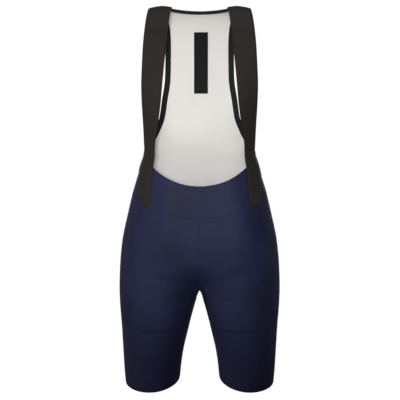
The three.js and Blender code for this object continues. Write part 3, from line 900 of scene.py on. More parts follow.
    def gusset(self) -> ClothSheet:
        """Crotch gusset: the surface under the crotch, found by its height at each x and y.

        Returns:
            The sheet.
        """
        body, reach = self.garment.body, GUSSET_HALF_WIDTH
        share, rows = grid_of(np.linspace(-1, 1, 25), np.linspace(0, 1, 81))
        x = np.abs(share) * reach
        drop = GUSSET_CORNER_DROP * np.abs(share)
        front_z, back_z = GUSSET_FRONT - drop, GUSSET_BACK - drop
        front = body.place(body.at_x(Half.FRONT, x, front_z), front_z).points[..., 1]
        back = body.place(body.at_x(Half.BACK, x, back_z), back_z).points[..., 1]
        y = lerp(back, front, rows)
        z = self.height_under(x, y)
        points = np.stack([share * reach, y, z], -1)
        across, along = np.gradient(points, axis=1), np.gradient(points, axis=0)
        normals = unit(np.cross(across, along))
        normals *= np.where(normals[..., 2:] > 0, -1, 1)
        uv = np.stack([share * reach, y], -1) * MM
        return ClothSheet(Spot(points, normals), uv, np.zeros(z.shape))

    def height_under(self, x: Array, y: Array) -> Array:
        """Height of the body's underside between the legs.

        Args:
            x: Distances from the centre line.
            y: Places from front to back.
        Returns:
            Heights.
        """
        low, high = np.full_like(x, LOWEST_UNDER), np.full_like(x, HIGHEST_UNDER)
        for _ in range(UNDER_HALVINGS):
            z = (low + high) / 2
            depth = np.where(y < 0, depth_at(x, z, Half.FRONT), depth_at(x, z, Half.BACK))
            outside = (leg_gap(z) > x) | (np.abs(y - CENTRE_LINES(z)) > depth)
            low, high = np.where(outside, z, low), np.where(outside, high, z)
        return (low + high) / 2

    def build(self) -> None:
        """Adds every panel."""
        add, name = self.garment.add, "lycra"
        yoke = add("yoke_cloth", "front_yoke", name, self.yoke(), self.thickness, self.finish)
        thigh, seat = self.thigh_front(), self.seat_leg()
        for label, front, back in (("right", thigh, seat), ("left", thigh.mirrored(), seat.mirrored())):
            piece = add(f"thigh_front_{label}_cloth", f"thigh_front_{label}", name, front, self.thickness, self.finish)
            piece = add(f"seat_leg_{label}_cloth", f"seat_leg_{label}", name, back, self.thickness, self.finish)
        piece = add("gusset_cloth", "crotch_gusset", name, self.gusset(), self.thickness, self.finish)


class Armhole:
    """The armhole edge in round coordinates and heights, and places inside it."""

    def __init__(self, body: BodyForm) -> None:
        """Sets the edge's table on the body.

        Args:
            body: The body form.
        """
        self.body = body
        self.end = float(len(ARMHOLE))
        rows = [(step, float(body.at_x(Half.BACK, x, z)), z) for step, (x, z) in enumerate(ARMHOLE)]
        rows.append((len(ARMHOLE), YOKE_WRAP, WAIST_SIDE))
        self.round = Curve([(step, round_) for step, round_, _ in rows])
        self.z = Curve([(step, z) for step, _, z in rows])

    def inside(self, step: Array, distance: Array | float) -> tuple[Array, Array]:
        """Places a distance in from the edge.

        Args:
            step: How far along the edge, from 0 at the shoulder to end at the waist.
            distance: Distance in millimetres.
        Returns:
            Round coordinates and heights.
        """
        step = np.asarray(step, float)
        round_, z = self.round(step), self.z(step)
        across = 2 * self.body.length(Half.BACK, z)
        rise = self.rise(round_, z)
        before, after = np.maximum(0, step - EDGE_STEP), np.minimum(self.end, step + EDGE_STEP)
        square = unit(np.stack([
            -(self.z(after) - self.z(before)) * rise, (self.round(after) - self.round(before)) * across
        ], -1))
        slope = (back_seam(round_ + SEAM_STEP) - back_seam(round_)) * rise
        seam = unit(np.stack([SEAM_STEP * across, slope], -1))
        to_end = smoothstep(step, self.end - 1, self.end)[..., None]
        to_tab = 1 - smoothstep(step, 0, 1)[..., None]
        way = unit(lerp(lerp(square, seam, to_end), np.array([1.0, 0.0]), to_tab))
        return round_ + way[..., 0] * distance / across, z + way[..., 1] * distance / rise

    def rise(self, round_: Array, z: Array) -> Array:
        """Length on the cloth of one millimetre of height.

        Args:
            round_: Round coordinates.
            z: Heights.
        Returns:
            The lengths.
        """
        high = np.minimum(0, z + HEIGHT_STEP)
        low = z - HEIGHT_STEP
        up = self.body.place(round_, high).points - self.body.place(round_, low).points
        return np.linalg.norm(up, axis=-1) / (high - low)


@dataclass
class UpperBack:
    """The racer back: mesh panel, neck and armhole bindings, and the plain patch inside."""

    garment: Garment
    mesh_finish: bpy.types.Material
    binding_finish: bpy.types.Material
    patch_finish: bpy.types.Material

    @staticmethod
    def neck_edge(x: Array) -> Array:
        """Height of the neck edge."""
        return lerp(NECK_CENTRE, NECK_END, (x / NECK_HALF_WIDTH) ** 2)

    def panel(self, armhole: Armhole) -> ClothSheet:
        """The mesh panel between the bindings and the back seam.

        Args:
            armhole: The armhole edge.
        Returns:
            The sheet.
        """
        body = self.garment.body
        corner_round, corner_z = (float(v) for v in armhole.inside(np.array(0.0), ARMHOLE_BAND))
        corner_x = float(body.place(corner_round, corner_z).points[0])
        beside_neck = np.linspace(corner_x, NECK_HALF_WIDTH, 12, endpoint=False)
        tops = np.concatenate([beside_neck, np.linspace(NECK_HALF_WIDTH, 0, 26)])
        down = (1 - np.linspace(0, 1, 121))[:, None]
        drop = NECK_BAND_DROP
        top_z = np.where(tops > NECK_HALF_WIDTH, corner_z, self.neck_edge(tops) - drop)
        top_round = body.at_x(Half.BACK, tops, top_z)
        left_round, left_z = armhole.inside(armhole.end * down, ARMHOLE_BAND)
        last_round = float(left_round[0, 0])
        share = (1 - tops / corner_x)[None]
        bottom_round = lerp(last_round, 1.0, share)
        bottom_z = back_seam(bottom_round)
        centre_z = lerp(top_z[-1], BACK_SEAM_CENTRE, down**BACK_ROW_POWER)

        def between(left: Array, centre: Numbers, top: Array, bottom: Array) -> Array:
            """Grid blended between its four edges.

            Args:
                left: Values down the armhole side.
                centre: Values down the centre line.
                top: Values along the top.
                bottom: Values along the back seam.
            Returns:
                The grid.
            """
            sides = lerp(left, centre, share)
            ends = lerp(top[None], bottom, down)
            first = lerp(left[-1:], top[None, -1:], share)
            last = lerp(left[:1], bottom[:, -1:], share)
            return sides + ends - lerp(first, last, down)

        round_ = np.minimum(1, between(left_round, np.ones_like(down), top_round, bottom_round))
        z = between(left_z, centre_z, top_z, bottom_z)
        whole_round = np.concatenate([round_, round_[:, -2::-1]], axis=1)
        whole_z = np.concatenate([z, z[:, -2::-1]], axis=1)
        side = np.ones_like(whole_z)
        side[:, round_.shape[1] :] = -1
        sheet = self.garment.sheet(whole_round, whole_z, side)
        sheet.uv = np.stack([sheet.spot.points[..., 0], whole_z], -1) * MM
        return sheet

    def neck(self) -> ClothSheet:
        """The narrow binding over the neck edge.

        Returns:
            The sheet.
        """
        across, rows = grid_of(np.linspace(NECK_HALF_WIDTH, -NECK_HALF_WIDTH, 81), np.linspace(0, 1, 5))
        x = np.abs(across)
        z = self.neck_edge(x) - NECK_BAND_DROP * (1 - rows)
        side = np.where(across < 0, -1.0, 1.0)
        # Painted shade at the binding's folded edges, top and bottom.
        sheet = self.garment.sheet(self.garment.body.at_x(Half.BACK, x, z), z, side, 0.8, border(z.shape, True, True))
        sheet.uv = np.stack([across, 8 * rows], -1) * MM
        return sheet

    def armhole_band(self, armhole: Armhole) -> ClothSheet:
        """Right armhole binding.

        Args:
            armhole: The armhole edge.
        Returns:
            The sheet.
        """
        across, rows = grid_of(np.linspace(0, 1, 8), np.linspace(0, 1, 171))
        round_, z = armhole.inside(armhole.end * (1 - rows), ARMHOLE_BAND * across)
        # Painted shade at the binding's folded edges on both sides.
        sheet = self.garment.sheet(round_, z, 1.0, 1.6, border(z.shape, left=True, right=True))
        sheet.uv = np.stack([ARMHOLE_BAND * across, 340 * rows], -1) * MM
        return sheet

    def patch(self) -> ClothSheet:
        """Plain rectangle on the inner face of the back.

        Returns:
            The sheet.
        """
        columns, rows = grid_of(np.linspace(0.5, -0.5, 17), np.linspace(0, 1, 61))
        across = PATCH_OFFSET + PATCH_WIDTH * columns
        z = lerp(PATCH_BOTTOM, PATCH_TOP, rows)
        round_ = self.garment.body.at_x(Half.BACK, np.abs(across), z)
        side = np.where(across < 0, -1.0, 1.0)
        # Painted shade round the patch's turned edge.
        sheet = self.garment.sheet(round_, z, side, 1.2, border(z.shape, True, True, True, True))
        sheet.uv = np.stack([across, z], -1) * MM
        return sheet

    def build(self) -> None:
        """Adds every piece."""
        add, armhole = self.garment.add, Armhole(self.garment.body)
        panel = add("back_mesh_cloth", "back_mesh_panel", "mesh", self.panel(armhole), MESH, self.mesh_finish)
        neck = add("neck_binding_cloth", "neck_binding", "binding", self.neck(), BINDING, self.binding_finish)
        band = self.armhole_band(armhole)
        for label, sheet in (("right", band), ("left", band.mirrored())):
            node = f"armhole_binding_{label}"
            piece = add(f"{node}_cloth", node, "binding", sheet, BINDING, self.binding_finish)
        lift = -(MESH / 2 + CLOTH_GAP + PATCH / 2)
        patch = add("back_patch_cloth", "back_patch", "patch", self.patch(), PATCH, self.patch_finish, lift)


@dataclass
class Straps:
    """The two wide elastic straps, from the seam behind the shoulder to the yoke seam."""

    garment: Garment
    finish: bpy.types.Material
    columns: int = 22
    rows: int = 200

    @property
    def lift(self) -> float:
        """Distance of the strap's middle from the middle of the yoke."""
        return LYCRA / 2 + CLOTH_GAP + ELASTIC / 2

    def on_yoke(self, z: Array | float, across: Array, away: float, width: float) -> Array:
        """Cross line of the strap on the yoke.

        Args:
            z: Height, or one for each share.
            across: Shares of the width, 0 on the inner edge.
            away: Distance of the outer edge from the side line.
            width: Width of the strap.
        Returns:
            Points (across, 3).
        """
        body = self.garment.body
        distance = away + width * (1 - across)
        round_ = 0.5 - 0.5 * distance / body.length(Half.FRONT, z)
        return body.place(round_, np.broadcast_to(z, round_.shape)).lifted(np.full(round_.shape, self.lift))

    def knots(self, across: Array) -> Array:
        """Cross lines that the strap runs through, from its lower end up.

        Args:
            across: Shares of the width, 0 on the inner edge.
        Returns:
            Points (knots, across, 3).
        """
        body = self.garment.body
        distance = STRAP_END_AWAY + STRAP_END_WIDTH * (1 - across)
        end_round = 0.5 - 0.5 * distance / body.length(Half.FRONT, YOKE_SEAM_SIDE)
        lines = [self.on_yoke(yoke_seam(end_round), across, STRAP_END_AWAY, STRAP_END_WIDTH)]
        away = Curve([(z, value) for z, value, _ in STRAP_ON_YOKE])
        width = Curve([(z, value) for z, _, value in STRAP_ON_YOKE])
        for z in np.linspace(STRAP_ON_YOKE[-1][0], STRAP_ON_YOKE[0][0], STRAP_YOKE_KNOTS):
            lines.append(self.on_yoke(z, across, float(away(z)), float(width(z))))
        for row in reversed(STRAP):
            angle = math.radians(row.turn)
            aside, bulge = (across - 0.5) * row.width, row.crown * (1 - (2 * across - 1) ** 2)
            x = row.x + aside * math.cos(angle) + bulge * math.sin(angle)
            y = row.y + aside * math.sin(angle) - bulge * math.cos(angle)
            droop = row.sag * (np.abs(across - STRAP_RIDGE) / (1 - STRAP_RIDGE)) ** SAG_POWER
            lines.append(np.stack([x, y, row.z - droop], -1))
        return np.stack(lines)

    def sheet(self) -> ClothSheet:
        """Right strap as a smooth band through its cross lines.

        Returns:
            The sheet.
        """
        across = np.linspace(0, 1, self.columns + 1)
        knots = self.knots(across)
        padded = np.concatenate([2 * knots[:1] - knots[1:2], knots, 2 * knots[-1:] - knots[-2:-1]])
        gaps = np.sqrt(np.linalg.norm(np.diff(padded, axis=0), axis=-1))[..., None]
        before, here, after = gaps[:-2], gaps[1:-1], gaps[2:]
        p0, p1, p2, p3 = padded[:-3], padded[1:-2], padded[2:-1], padded[3:]
        first = ((p1 - p0) / before - (p2 - p0) / (before + here) + (p2 - p1) / here) * here
        second = ((p2 - p1) / here - (p3 - p1) / (here + after) + (p3 - p2) / after) * here
        at = np.linspace(0, len(knots) - 1, self.rows)
        i = np.minimum(at.astype(int), len(knots) - 2)
        t = (at - i)[:, None, None]
        points = (
            (2 * t**3 - 3 * t**2 + 1) * p1[i] + (t**3 - 2 * t**2 + t) * first[i]
            + (3 * t**2 - 2 * t**3) * p2[i] + (t**3 - t**2) * second[i]
        )
        normals = unit(np.cross(np.gradient(points, axis=1), np.gradient(points, axis=0)))
        steps = np.linalg.norm(np.diff(points[:, self.columns // 2], axis=0), axis=-1)
        along = np.concatenate([[0], np.cumsum(steps)])[:, None] + 0 * across
        uv = np.stack([(across - 0.5)[None] * 48 + 0 * along, along], -1) * MM
        # Painted shade along the strap's two edges and its lower end.
        edge = painted_edge_shade(points, border(along.shape, bottom=True, left=True, right=True), 1.8)
        return ClothSheet(Spot(points, normals), uv, edge)

    def build(self) -> None:
        """Adds both straps."""
        right = self.sheet()
        for label, sheet in (("right", right), ("left", right.mirrored())):
            piece = self.garment.add(f"strap_{label}_cloth", f"strap_{label}", "elastic", sheet, ELASTIC, self.finish)


@dataclass(frozen=True)
class StitchRow:
    """A row of stitches: a line on the cloth and how the threads lie on it."""

    line: Spot
    pitch: float = 2.8
    stitch: float = 2.0
    width: float = 0.5
    height: float = 0.25
    zigzag: float = 0.0


@dataclass
class Stitching:
    """Raised threads along the seams, as small beads set on the cloth."""

    garment: Garment
    finish: bpy.types.Material
    lift: float = LYCRA / 2

    def on_body(self, round_: Array, z: Array, side: Array | float = 1.0) -> Spot:
        """Line on the body's outer face."""
        return self.garment.body.place(round_, z, side)

    def beside(self, line: Spot, distance: float) -> Spot:
        """The same line moved sideways on the cloth.

        Args:
            line: A line of places.
            distance: Distance to its left in millimetres.
        Returns:
            The moved line.
        """
        way = unit(np.gradient(line.points, axis=0))
        aside = unit(np.cross(line.normals, way))
        return Spot(line.points + aside * distance, line.normals)

    def beads(self, row: StitchRow) -> tuple[Array, Array]:
        """Beads of one row.

        Args:
            row: The row of stitches.
        Returns:
            Points (count, 6, 3) and the distance of each bead along the row.
        """
        line = row.line
        steps = np.linalg.norm(np.diff(line.points, axis=0), axis=1)
        along = np.concatenate([[0], np.cumsum(steps)])
        at = np.arange(row.pitch / 2, along[-1] - row.pitch / 2, row.pitch)

        def read(table: Array) -> Array:
            """Values of a table at the beads."""
            return np.stack([np.interp(at, along, table[:, i]) for i in range(3)], -1)

        points, normals = read(line.points), unit(read(line.normals))
        ways = unit(read(np.gradient(line.points, axis=0)))
        aside = unit(np.cross(normals, ways))
        if row.zigzag:
            turn = np.where(np.arange(len(at)) % 2 == 0, 1.0, -1.0)[:, None]
            ways = unit(ways * row.pitch + aside * turn * row.zigzag)
            aside = unit(np.cross(normals, ways))
        base = points + normals * (self.lift + self.garment.creases.height(points))[:, None]
        half, wide = row.stitch / 2, row.width / 2
        corners = [
            base - ways * half - normals * 0.1,
            base + aside * wide,
            base + normals * row.height,
            base - aside * wide,
            base - normals * 0.2,
            base + ways * half - normals * 0.1,
        ]
        return np.stack(corners, 1), at

    def add(self, name: str, rows: Sequence[StitchRow], finish: bpy.types.Material, slot: str = "lycra") -> None:
        """One piece made of several rows.

        Args:
            name: Name of the piece.
            rows: The rows of stitches.
            finish: Finish of the thread.
            slot: Material slot of the record; not used.
        """
        bead = np.array([
            [0, 2, 1], [0, 3, 2], [0, 4, 3], [0, 1, 4],
            [5, 1, 2], [5, 2, 3], [5, 3, 4], [5, 4, 1],
        ])
        parts, along = zip(*(self.beads(row) for row in rows))
        points, at = np.concatenate(parts), np.concatenate(along)
        faces = (bead[None] + 6 * np.arange(len(points))[:, None, None]).reshape(-1, 3)
        uv = np.repeat(np.stack([at, 0 * at], -1), 6, axis=0) * MM
        data = MeshData(points.reshape(-1, 3), faces, uv, np.zeros(6 * len(points)))
        piece = make_object(name, data, finish, 80.0)
        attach(piece, "root")
        self.garment.made.append(piece)
        LOG.info("%s: %d stitches", name, len(points))

    def flatlock(self, line: Spot, spread: float = 2.2) -> list[StitchRow]:
        """Two rows beside a seam with a zigzag across it.

        Args:
            line: The seam.
            spread: Distance of the outer rows from the seam.
        Returns:
            The rows.
        """
        return [
            StitchRow(self.beside(line, spread)),
            StitchRow(self.beside(line, -spread)),
            StitchRow(line, pitch=2.0, stitch=2 * spread, width=0.45, height=0.22, zigzag=2 * spread),
        ]

    def centre_seams(self) -> list[StitchRow]:
        """Seams on the centre line, front and back.

        Returns:
            The rows.
        """
        front, back = np.linspace(YOKE_SEAM_CENTRE, GUSSET_FRONT, 80), np.linspace(BACK_SEAM_CENTRE, GUSSET_BACK, 80)
        rows = self.flatlock(self.on_body(np.zeros(80), front), 1.6)
        return rows + self.flatlock(self.on_body(np.ones(80), back), 2.0)

    def cross_seams(self) -> list[StitchRow]:
        """Seam under the yoke, hem of the scoop and seam of the back panel.

        Returns:
            The rows.
        """
        share = np.linspace(-1, 1, 320)
        side = np.where(share < 0, -1.0, 1.0)
        round_ = np.abs(share) * YOKE_WRAP
        rows = self.flatlock(self.on_body(round_, yoke_seam(round_), side))
        rows.append(StitchRow(self.on_body(round_, scoop_edge(round_) - 4.5, side), width=0.4))
        back = YOKE_WRAP + (1 - np.abs(share)) * (1 - YOKE_WRAP)
        return rows + self.flatlock(self.on_body(back, back_seam(back), side))

    def side_line(self, side: int) -> list[StitchRow]:
        """Thigh seam, side seam and the yoke's side edge of one leg.

        Args:
            side: 1 right, -1 left.
        Returns:
            The rows.
        """
        level = np.linspace(0.004, THIGH_SEAM_CORNER, 60)
        climb = np.linspace(THIGH_SEAM, WAIST_SIDE, 300)
        climb_round = side_seam(climb)
        round_ = np.concatenate([level, climb_round[1:]])
        z = np.concatenate([np.full(60, THIGH_SEAM), climb[1:]])
        return self.flatlock(self.on_body(round_, z, side), 2.0)

    def leg_rows(self, side: int, panels: ShortsPanels) -> list[StitchRow]:
        """Seams of one leg: side line, inner leg and gusset edges.

        Args:
            side: 1 right, -1 left.
            panels: The panels, for their inner edges.
        Returns:
            The rows.
        """
        rows = self.side_line(side)
        inner = np.linspace(THIGH_SEAM - 3, float(HEM_LINE(np.array(0.0))) + 2, 90)
        rows += self.flatlock(self.on_body(np.zeros(90), inner, side), 1.6)
        for half, corner in ((Half.FRONT, GUSSET_FRONT), (Half.BACK, GUSSET_BACK)):
            z = np.concatenate([
                np.linspace(corner, corner - GUSSET_CORNER_DROP, 16),
                np.linspace(corner - GUSSET_CORNER_DROP, THIGH_SEAM + 2, 90)[1:],
            ])
            rows += self.flatlock(self.on_body(panels.inner_edge(half, z), z, side), 1.6)
        return rows

    def band_rows(self, armhole: Armhole, side: int) -> list[StitchRow]:
        """Two rows along an armhole binding.

        Args:
            armhole: The armhole edge.
            side: 1 right, -1 left.
        Returns:
            The rows.
        """
        step = armhole.end * np.linspace(0.003, 0.985, 240)
        rows = []
        for distance in (2.0, ARMHOLE_BAND - 2.0):
            round_, z = armhole.inside(step, distance)
            rows.append(StitchRow(self.on_body(round_, z, side), width=0.4))
        return rows

    def strap_rows(self, strap: ClothSheet) -> list[StitchRow]:
        """Rows across a strap at its lower and upper ends, and down its edges where it lies on the yoke.

        Args:
            strap: The strap's sheet.
        Returns:
            The rows.
        """
        p, n = strap.spot.points, strap.spot.normals
        lines = [Spot(p[i, 1:-1], n[i, 1:-1]) for i in (2, 4, -3, -5)]
        count = int(0.27 * len(p))
        lines += [Spot(p[2:count, i], n[2:count, i]) for i in (1, -2)]
        return [StitchRow(line, pitch=2.6, width=0.4) for line in lines]

    def patch_rows(self, patch: ClothSheet) -> list[StitchRow]:
        """One row round the patch.

        Args:
            patch: The patch's sheet.
        Returns:
            The rows.
        """
        p, n = patch.spot.points, -patch.spot.normals
        loop = [(slice(1, -1), 1), (-2, slice(1, -1)), (slice(-2, 0, -1), -2), (1, slice(-2, 0, -1))]
        points, normals = (np.concatenate([table[where] for where in loop]) for table in (p, n))
        return [StitchRow(Spot(points, normals), pitch=2.4, stitch=1.7, width=0.35, height=0.2)]

    def build(self, panels: ShortsPanels, back: UpperBack, straps: Straps, dark: bpy.types.Material) -> None:
        """Adds every seam's thread.

        Args:
            panels: The shorts' panels.
            back: The upper back.
            straps: The straps.
            dark: Finish of the black thread.
        """
        armhole = Armhole(self.garment.body)
        self.add("centre_seam_thread", self.centre_seams(), self.finish)
        self.add("cross_seam_thread", self.cross_seams(), self.finish)
        right = straps.sheet()
        for label, side, strap in (("right", 1, right), ("left", -1, right.mirrored())):
            self.add(f"leg_{label}_thread", self.leg_rows(side, panels), self.finish)
            self.lift = BINDING / 2
            self.add(f"armhole_{label}_thread", self.band_rows(armhole, side), dark, "binding")
            self.lift = ELASTIC / 2
            self.add(f"strap_{label}_thread", self.strap_rows(strap), dark, "elastic")
            self.lift = LYCRA / 2
        self.lift = MESH / 2 + CLOTH_GAP + PATCH
        self.add("patch_thread", self.patch_rows(back.patch()), dark, "patch")


class Socket:
    """A value in a shader graph; the usual operators add the maths node that they stand for."""

    def __init__(self, graph: "Graph", socket: bpy.types.NodeSocket | None) -> None:
        """Keeps the socket and its graph."""
        self.graph = graph
        self.socket = socket

    def _maths(self, operation: str, *values: "Value") -> "Socket":
        """A Math node on these values."""
        return self.graph.node("ShaderNodeMath", {"operation": operation}, dict(enumerate(values)))

    def __add__(self, other: "Value") -> "Socket":
        """Sum."""
        return self._maths("ADD", self, other)

    def __radd__(self, other: "Value") -> "Socket":
        """Sum with the value on the left."""
        return self._maths("ADD", other, self)

    def __sub__(self, other: "Value") -> "Socket":
        """Difference."""
        return self._maths("SUBTRACT", self, other)

    def __rsub__(self, other: "Value") -> "Socket":
        """Difference from the value on the left."""
        return self._maths("SUBTRACT", other, self)

    def __mul__(self, other: "Value") -> "Socket":
        """Product."""
        return self._maths("MULTIPLY", self, other)

    def __rmul__(self, other: "Value") -> "Socket":
        """Product with the value on the left."""
        return self._maths("MULTIPLY", other, self)

    def wave(self) -> "Socket":
        """Sine from 0 to 1."""
        return self._maths("SINE", self) * 0.5 + 0.5

    def above(self, limit: "Value", softness: float) -> "Socket":
        """Soft 0 to 1 step where the value passes limit."""
        inputs = {0: self, 1: limit, 2: limit + softness, 3: 0.0, 4: 1.0}
        return self.graph.node("ShaderNodeMapRange", {"interpolation_type": "SMOOTHSTEP"}, inputs)


Value = Socket | float | int | Sequence[float]


class Graph:
    """The shader graph of one material."""

    def __init__(self, name: str) -> None:
        """Starts an empty material.

        Args:
            name: Name of the material.
        """
        self.material = bpy.data.materials.new(name)
        self.material.use_nodes = True
        self.tree = self.material.node_tree
        self.tree.nodes.clear()

    def node(self, kind: str, settings: Mapping[str, object] | None = None,
             inputs: Mapping[int | str, Value] | None = None, output: int | str = 0) -> Socket:
        """Adds any node.

        Args:
            kind: Its type.
            settings: Properties set first.
            inputs: Values or links by socket index or name.
            output: Which output to return.
        Returns:
            That output.
        """
        made = self.tree.nodes.new(kind)
        for key, value in (settings or {}).items():
            setattr(made, key, value)
        for key, value in (inputs or {}).items():
            if isinstance(value, Socket):
                self.tree.links.new(value.socket, made.inputs[key])
            else:
                made.inputs[key].default_value = value
        return Socket(self, made.outputs[output] if made.outputs else None)

    def mix(self, share: Value, first: Value, second: Value) -> Socket:
        """Colour between first and second."""
        inputs = {0: share, 6: self.colour(first), 7: self.colour(second)}
        return self.node("ShaderNodeMix", {"data_type": "RGBA"}, inputs, 2)

    def colour(self, value: Value) -> Value:
        """A colour with its alpha, where it is given as three numbers."""
        return value if isinstance(value, Socket) else (*value, 1.0)

    def cloth_uv(self) -> tuple[Socket, Socket]:
        """The cloth's own coordinates in metres, across and along.

        Returns:
            Both coordinates.
        """
        uv = self.node("ShaderNodeUVMap", {"uv_map": "cloth"})
        split = {0: uv}
        return self.node("ShaderNodeSeparateXYZ", None, split, 0), self.node("ShaderNodeSeparateXYZ", None, split, 1)

    def noise(self, scale: float, detail: float = 2.0) -> Socket:
        """Noise over the object's own space, 0 to 1."""
        place = self.node("ShaderNodeTexCoord", None, None, "Object")
        return self.node("ShaderNodeTexNoise", None, {"Vector": place, "Scale": scale, "Detail": detail})

    def edge(self) -> Socket:
        """1 on the marked edges of the cloth, where shade is painted."""
        return self.node("ShaderNodeAttribute", {"attribute_name": "edge"}, None, "Fac")

    def bump(self, height: Socket, depth: float, strength: float = 1.0) -> Socket:
        """Normal of a height map; depth in metres."""
        return self.node("ShaderNodeBump", None, {"Strength": strength, "Distance": depth, "Height": height})

    def surface(self, inputs: Mapping[str, Value]) -> bpy.types.Material:
        """Ends the graph in a principled surface with these inputs.

        Args:
            inputs: Values or links of the surface's sockets.
        Returns:
            The material.
        """
        shader = self.node("ShaderNodeBsdfPrincipled", None, inputs)
        self.node("ShaderNodeOutputMaterial", None, {"Surface": shader})
        return self.material


def linear(red: int, green: int, blue: int) -> Colour:
    """Scene colour of an sRGB colour from 0 to 255."""
    channels = (value / 255 for value in (red, green, blue))
    return tuple(c / 12.92 if c <= 0.04045 else ((c + 0.055) / 1.055) ** 2.4 for c in channels)


@dataclass(frozen=True)
class LycraFinish:
    """Smooth warp-knit stretch fabric: fine wales, a soft sheen, and painted shade along its seams and cut edges."""

    name: str = "lycra_navy"
    light: Colour = linear(35, 38, 68)
    dark: Colour = linear(26, 29, 54)
    # Dark navy of the painted shade in the seam grooves and along the cut edges; the knit also mixes a little towards
    # it.
    edge: Colour = linear(13, 14, 24)
    wale: float = 0.0009

    def material(self) -> bpy.types.Material:
        """The material.

        Returns:
            The finished material.
        """
        graph = Graph(self.name)
        across, along = graph.cloth_uv()
        turn = 2 * math.pi / self.wale
        wales = (across * turn).wave()
        loops = (along * (turn * 1.3) + wales * math.pi).wave()
        cloud = graph.noise(9.0, 3.0)
        base = graph.mix(cloud.above(0.3, 0.4), self.dark, self.light)
        base = graph.mix(wales * 0.1 + loops * 0.06, base, self.edge)
        # Painted shade: darker along the marked seams and cut edges.
        base = graph.mix(graph.edge() * 0.75, base, self.edge)
        height = wales * 0.6 + loops * 0.4
        return graph.surface({
            "Base Color": base,
            "Roughness": cloud * 0.12 + 0.56,
            "Specular IOR Level": 0.14,
            "Sheen Weight": 0.03,
            "Sheen Roughness": 0.4,
            "Sheen Tint": (0.62, 0.66, 0.9, 1.0),
            "Normal": graph.bump(height, 0.00004, 0.5),
        })


@dataclass(frozen=True)
class MeshFinish:
    """White knitted mesh: rows of tiny holes set like a honeycomb."""

    name: str = "mesh_white"
    thread: Colour = linear(231, 228, 224)
    hole: Colour = linear(198, 195, 191)
    pitch: float = 0.0022

    def material(self) -> bpy.types.Material:
        """The material.

        Returns:
            The finished material.
        """
        graph = Graph(self.name)
        across, along = graph.cloth_uv()
        turn = 2 * math.pi / self.pitch
        lattice = (across * turn).wave() + (across * (turn * 0.5) + along * (turn * 0.866)).wave()
        lattice = lattice + (across * (turn * -0.5) + along * (turn * 0.866)).wave()
        holes = lattice.above(2.05, 0.45)
        cloud = graph.noise(7.0)
        base = graph.mix(holes * 0.75, self.thread, self.hole)
        base = graph.mix(cloud.above(0.45, 0.4) * 0.12, base, self.hole)
        return graph.surface({
            "Base Color": base,
            "Roughness": cloud * 0.1 + 0.8,
            "Specular IOR Level": 0.2,
            "Sheen Weight": 0.1,
            "Normal": graph.bump(1 - holes, 0.00025, 0.6),
        })


@dataclass(frozen=True)
class ElasticFinish:
    """Wide brown-black elastic: ribs along it, slanted rows of small holes over the shoulder, and painted shade along
    its edges.
    """

    name: str = "elastic_black"
    rib: Colour = linear(40, 36, 31)
    # Dark of the rib grooves, also used for the painted edge shade.
    groove_and_edge_shade: Colour = linear(25, 22, 20)
    hole: Colour = linear(76, 71, 66)
    pitch: float = 0.0021
    cord: float = 0.0044
    hole_pitch: float = 0.0042

    def material(self) -> bpy.types.Material:
        """The material.

        Returns:
            The finished material.
        """
        graph = Graph(self.name)
        across, along = graph.cloth_uv()
        ribs = (across * (2 * math.pi / self.pitch)).wave()
        cords = (across * (2 * math.pi / self.cord)).wave()
        turn = 2 * math.pi / self.hole_pitch
        dots = (across * turn + along * turn).wave() * (across * turn - along * (turn * 0.6)).wave()
        shoulder = along.above(0.385, 0.05)
        holes = dots.above(0.8, 0.12) * shoulder
        cloud = graph.noise(11.0, 3.0)
        base = graph.mix(ribs * 0.7 + cloud * 0.3, self.groove_and_edge_shade, self.rib)
        base = graph.mix(cords * (shoulder * 0.35 + 0.12), base, self.hole)
        base = graph.mix(holes * 0.5, base, self.hole)
        # Painted shade: darker along the strap's edges and lower end.
        base = graph.mix(graph.edge() * 0.35, base, self.groove_and_edge_shade)
        return graph.surface({
            "Base Color": base,
            "Roughness": cloud * 0.12 + 0.72,
            "Specular IOR Level": 0.2,
            "Sheen Weight": 0.02,
            "Sheen Tint": (0.8, 0.74, 0.68, 1.0),
            "Normal": graph.bump(ribs - holes, 0.00018, 0.6),
        })


@dataclass(frozen=True)
class BindingFinish:
    """Folded black tape: a plain middle between folds darkened by painted shade, and a fine cross rib."""

    name: str = "binding_black"
    middle: Colour = linear(27, 27, 26)
    # Dark of the ribs, also used for the painted shade at the folds.
    fold: Colour = linear(12, 12, 12)
    rib: float = 0.0011

    def material(self) -> bpy.types.Material:
        """The material.

        Returns:
            The finished material.
        """
        graph = Graph(self.name)
        _, along = graph.cloth_uv()
        ribs = (along * (2 * math.pi / self.rib)).wave()
        cloud = graph.noise(14.0)
        base = graph.mix(ribs * 0.25 + cloud * 0.25, self.middle, self.fold)
        # Painted shade: darker at the folded edges.
        base = graph.mix(graph.edge() * 0.8, base, self.fold)
        return graph.surface({
            "Base Color": base,
            "Roughness": cloud * 0.1 + 0.7,
            "Specular IOR Level": 0.2,
            "Sheen Weight": 0.02,
            "Normal": graph.bump(ribs, 0.0001, 0.4),
        })


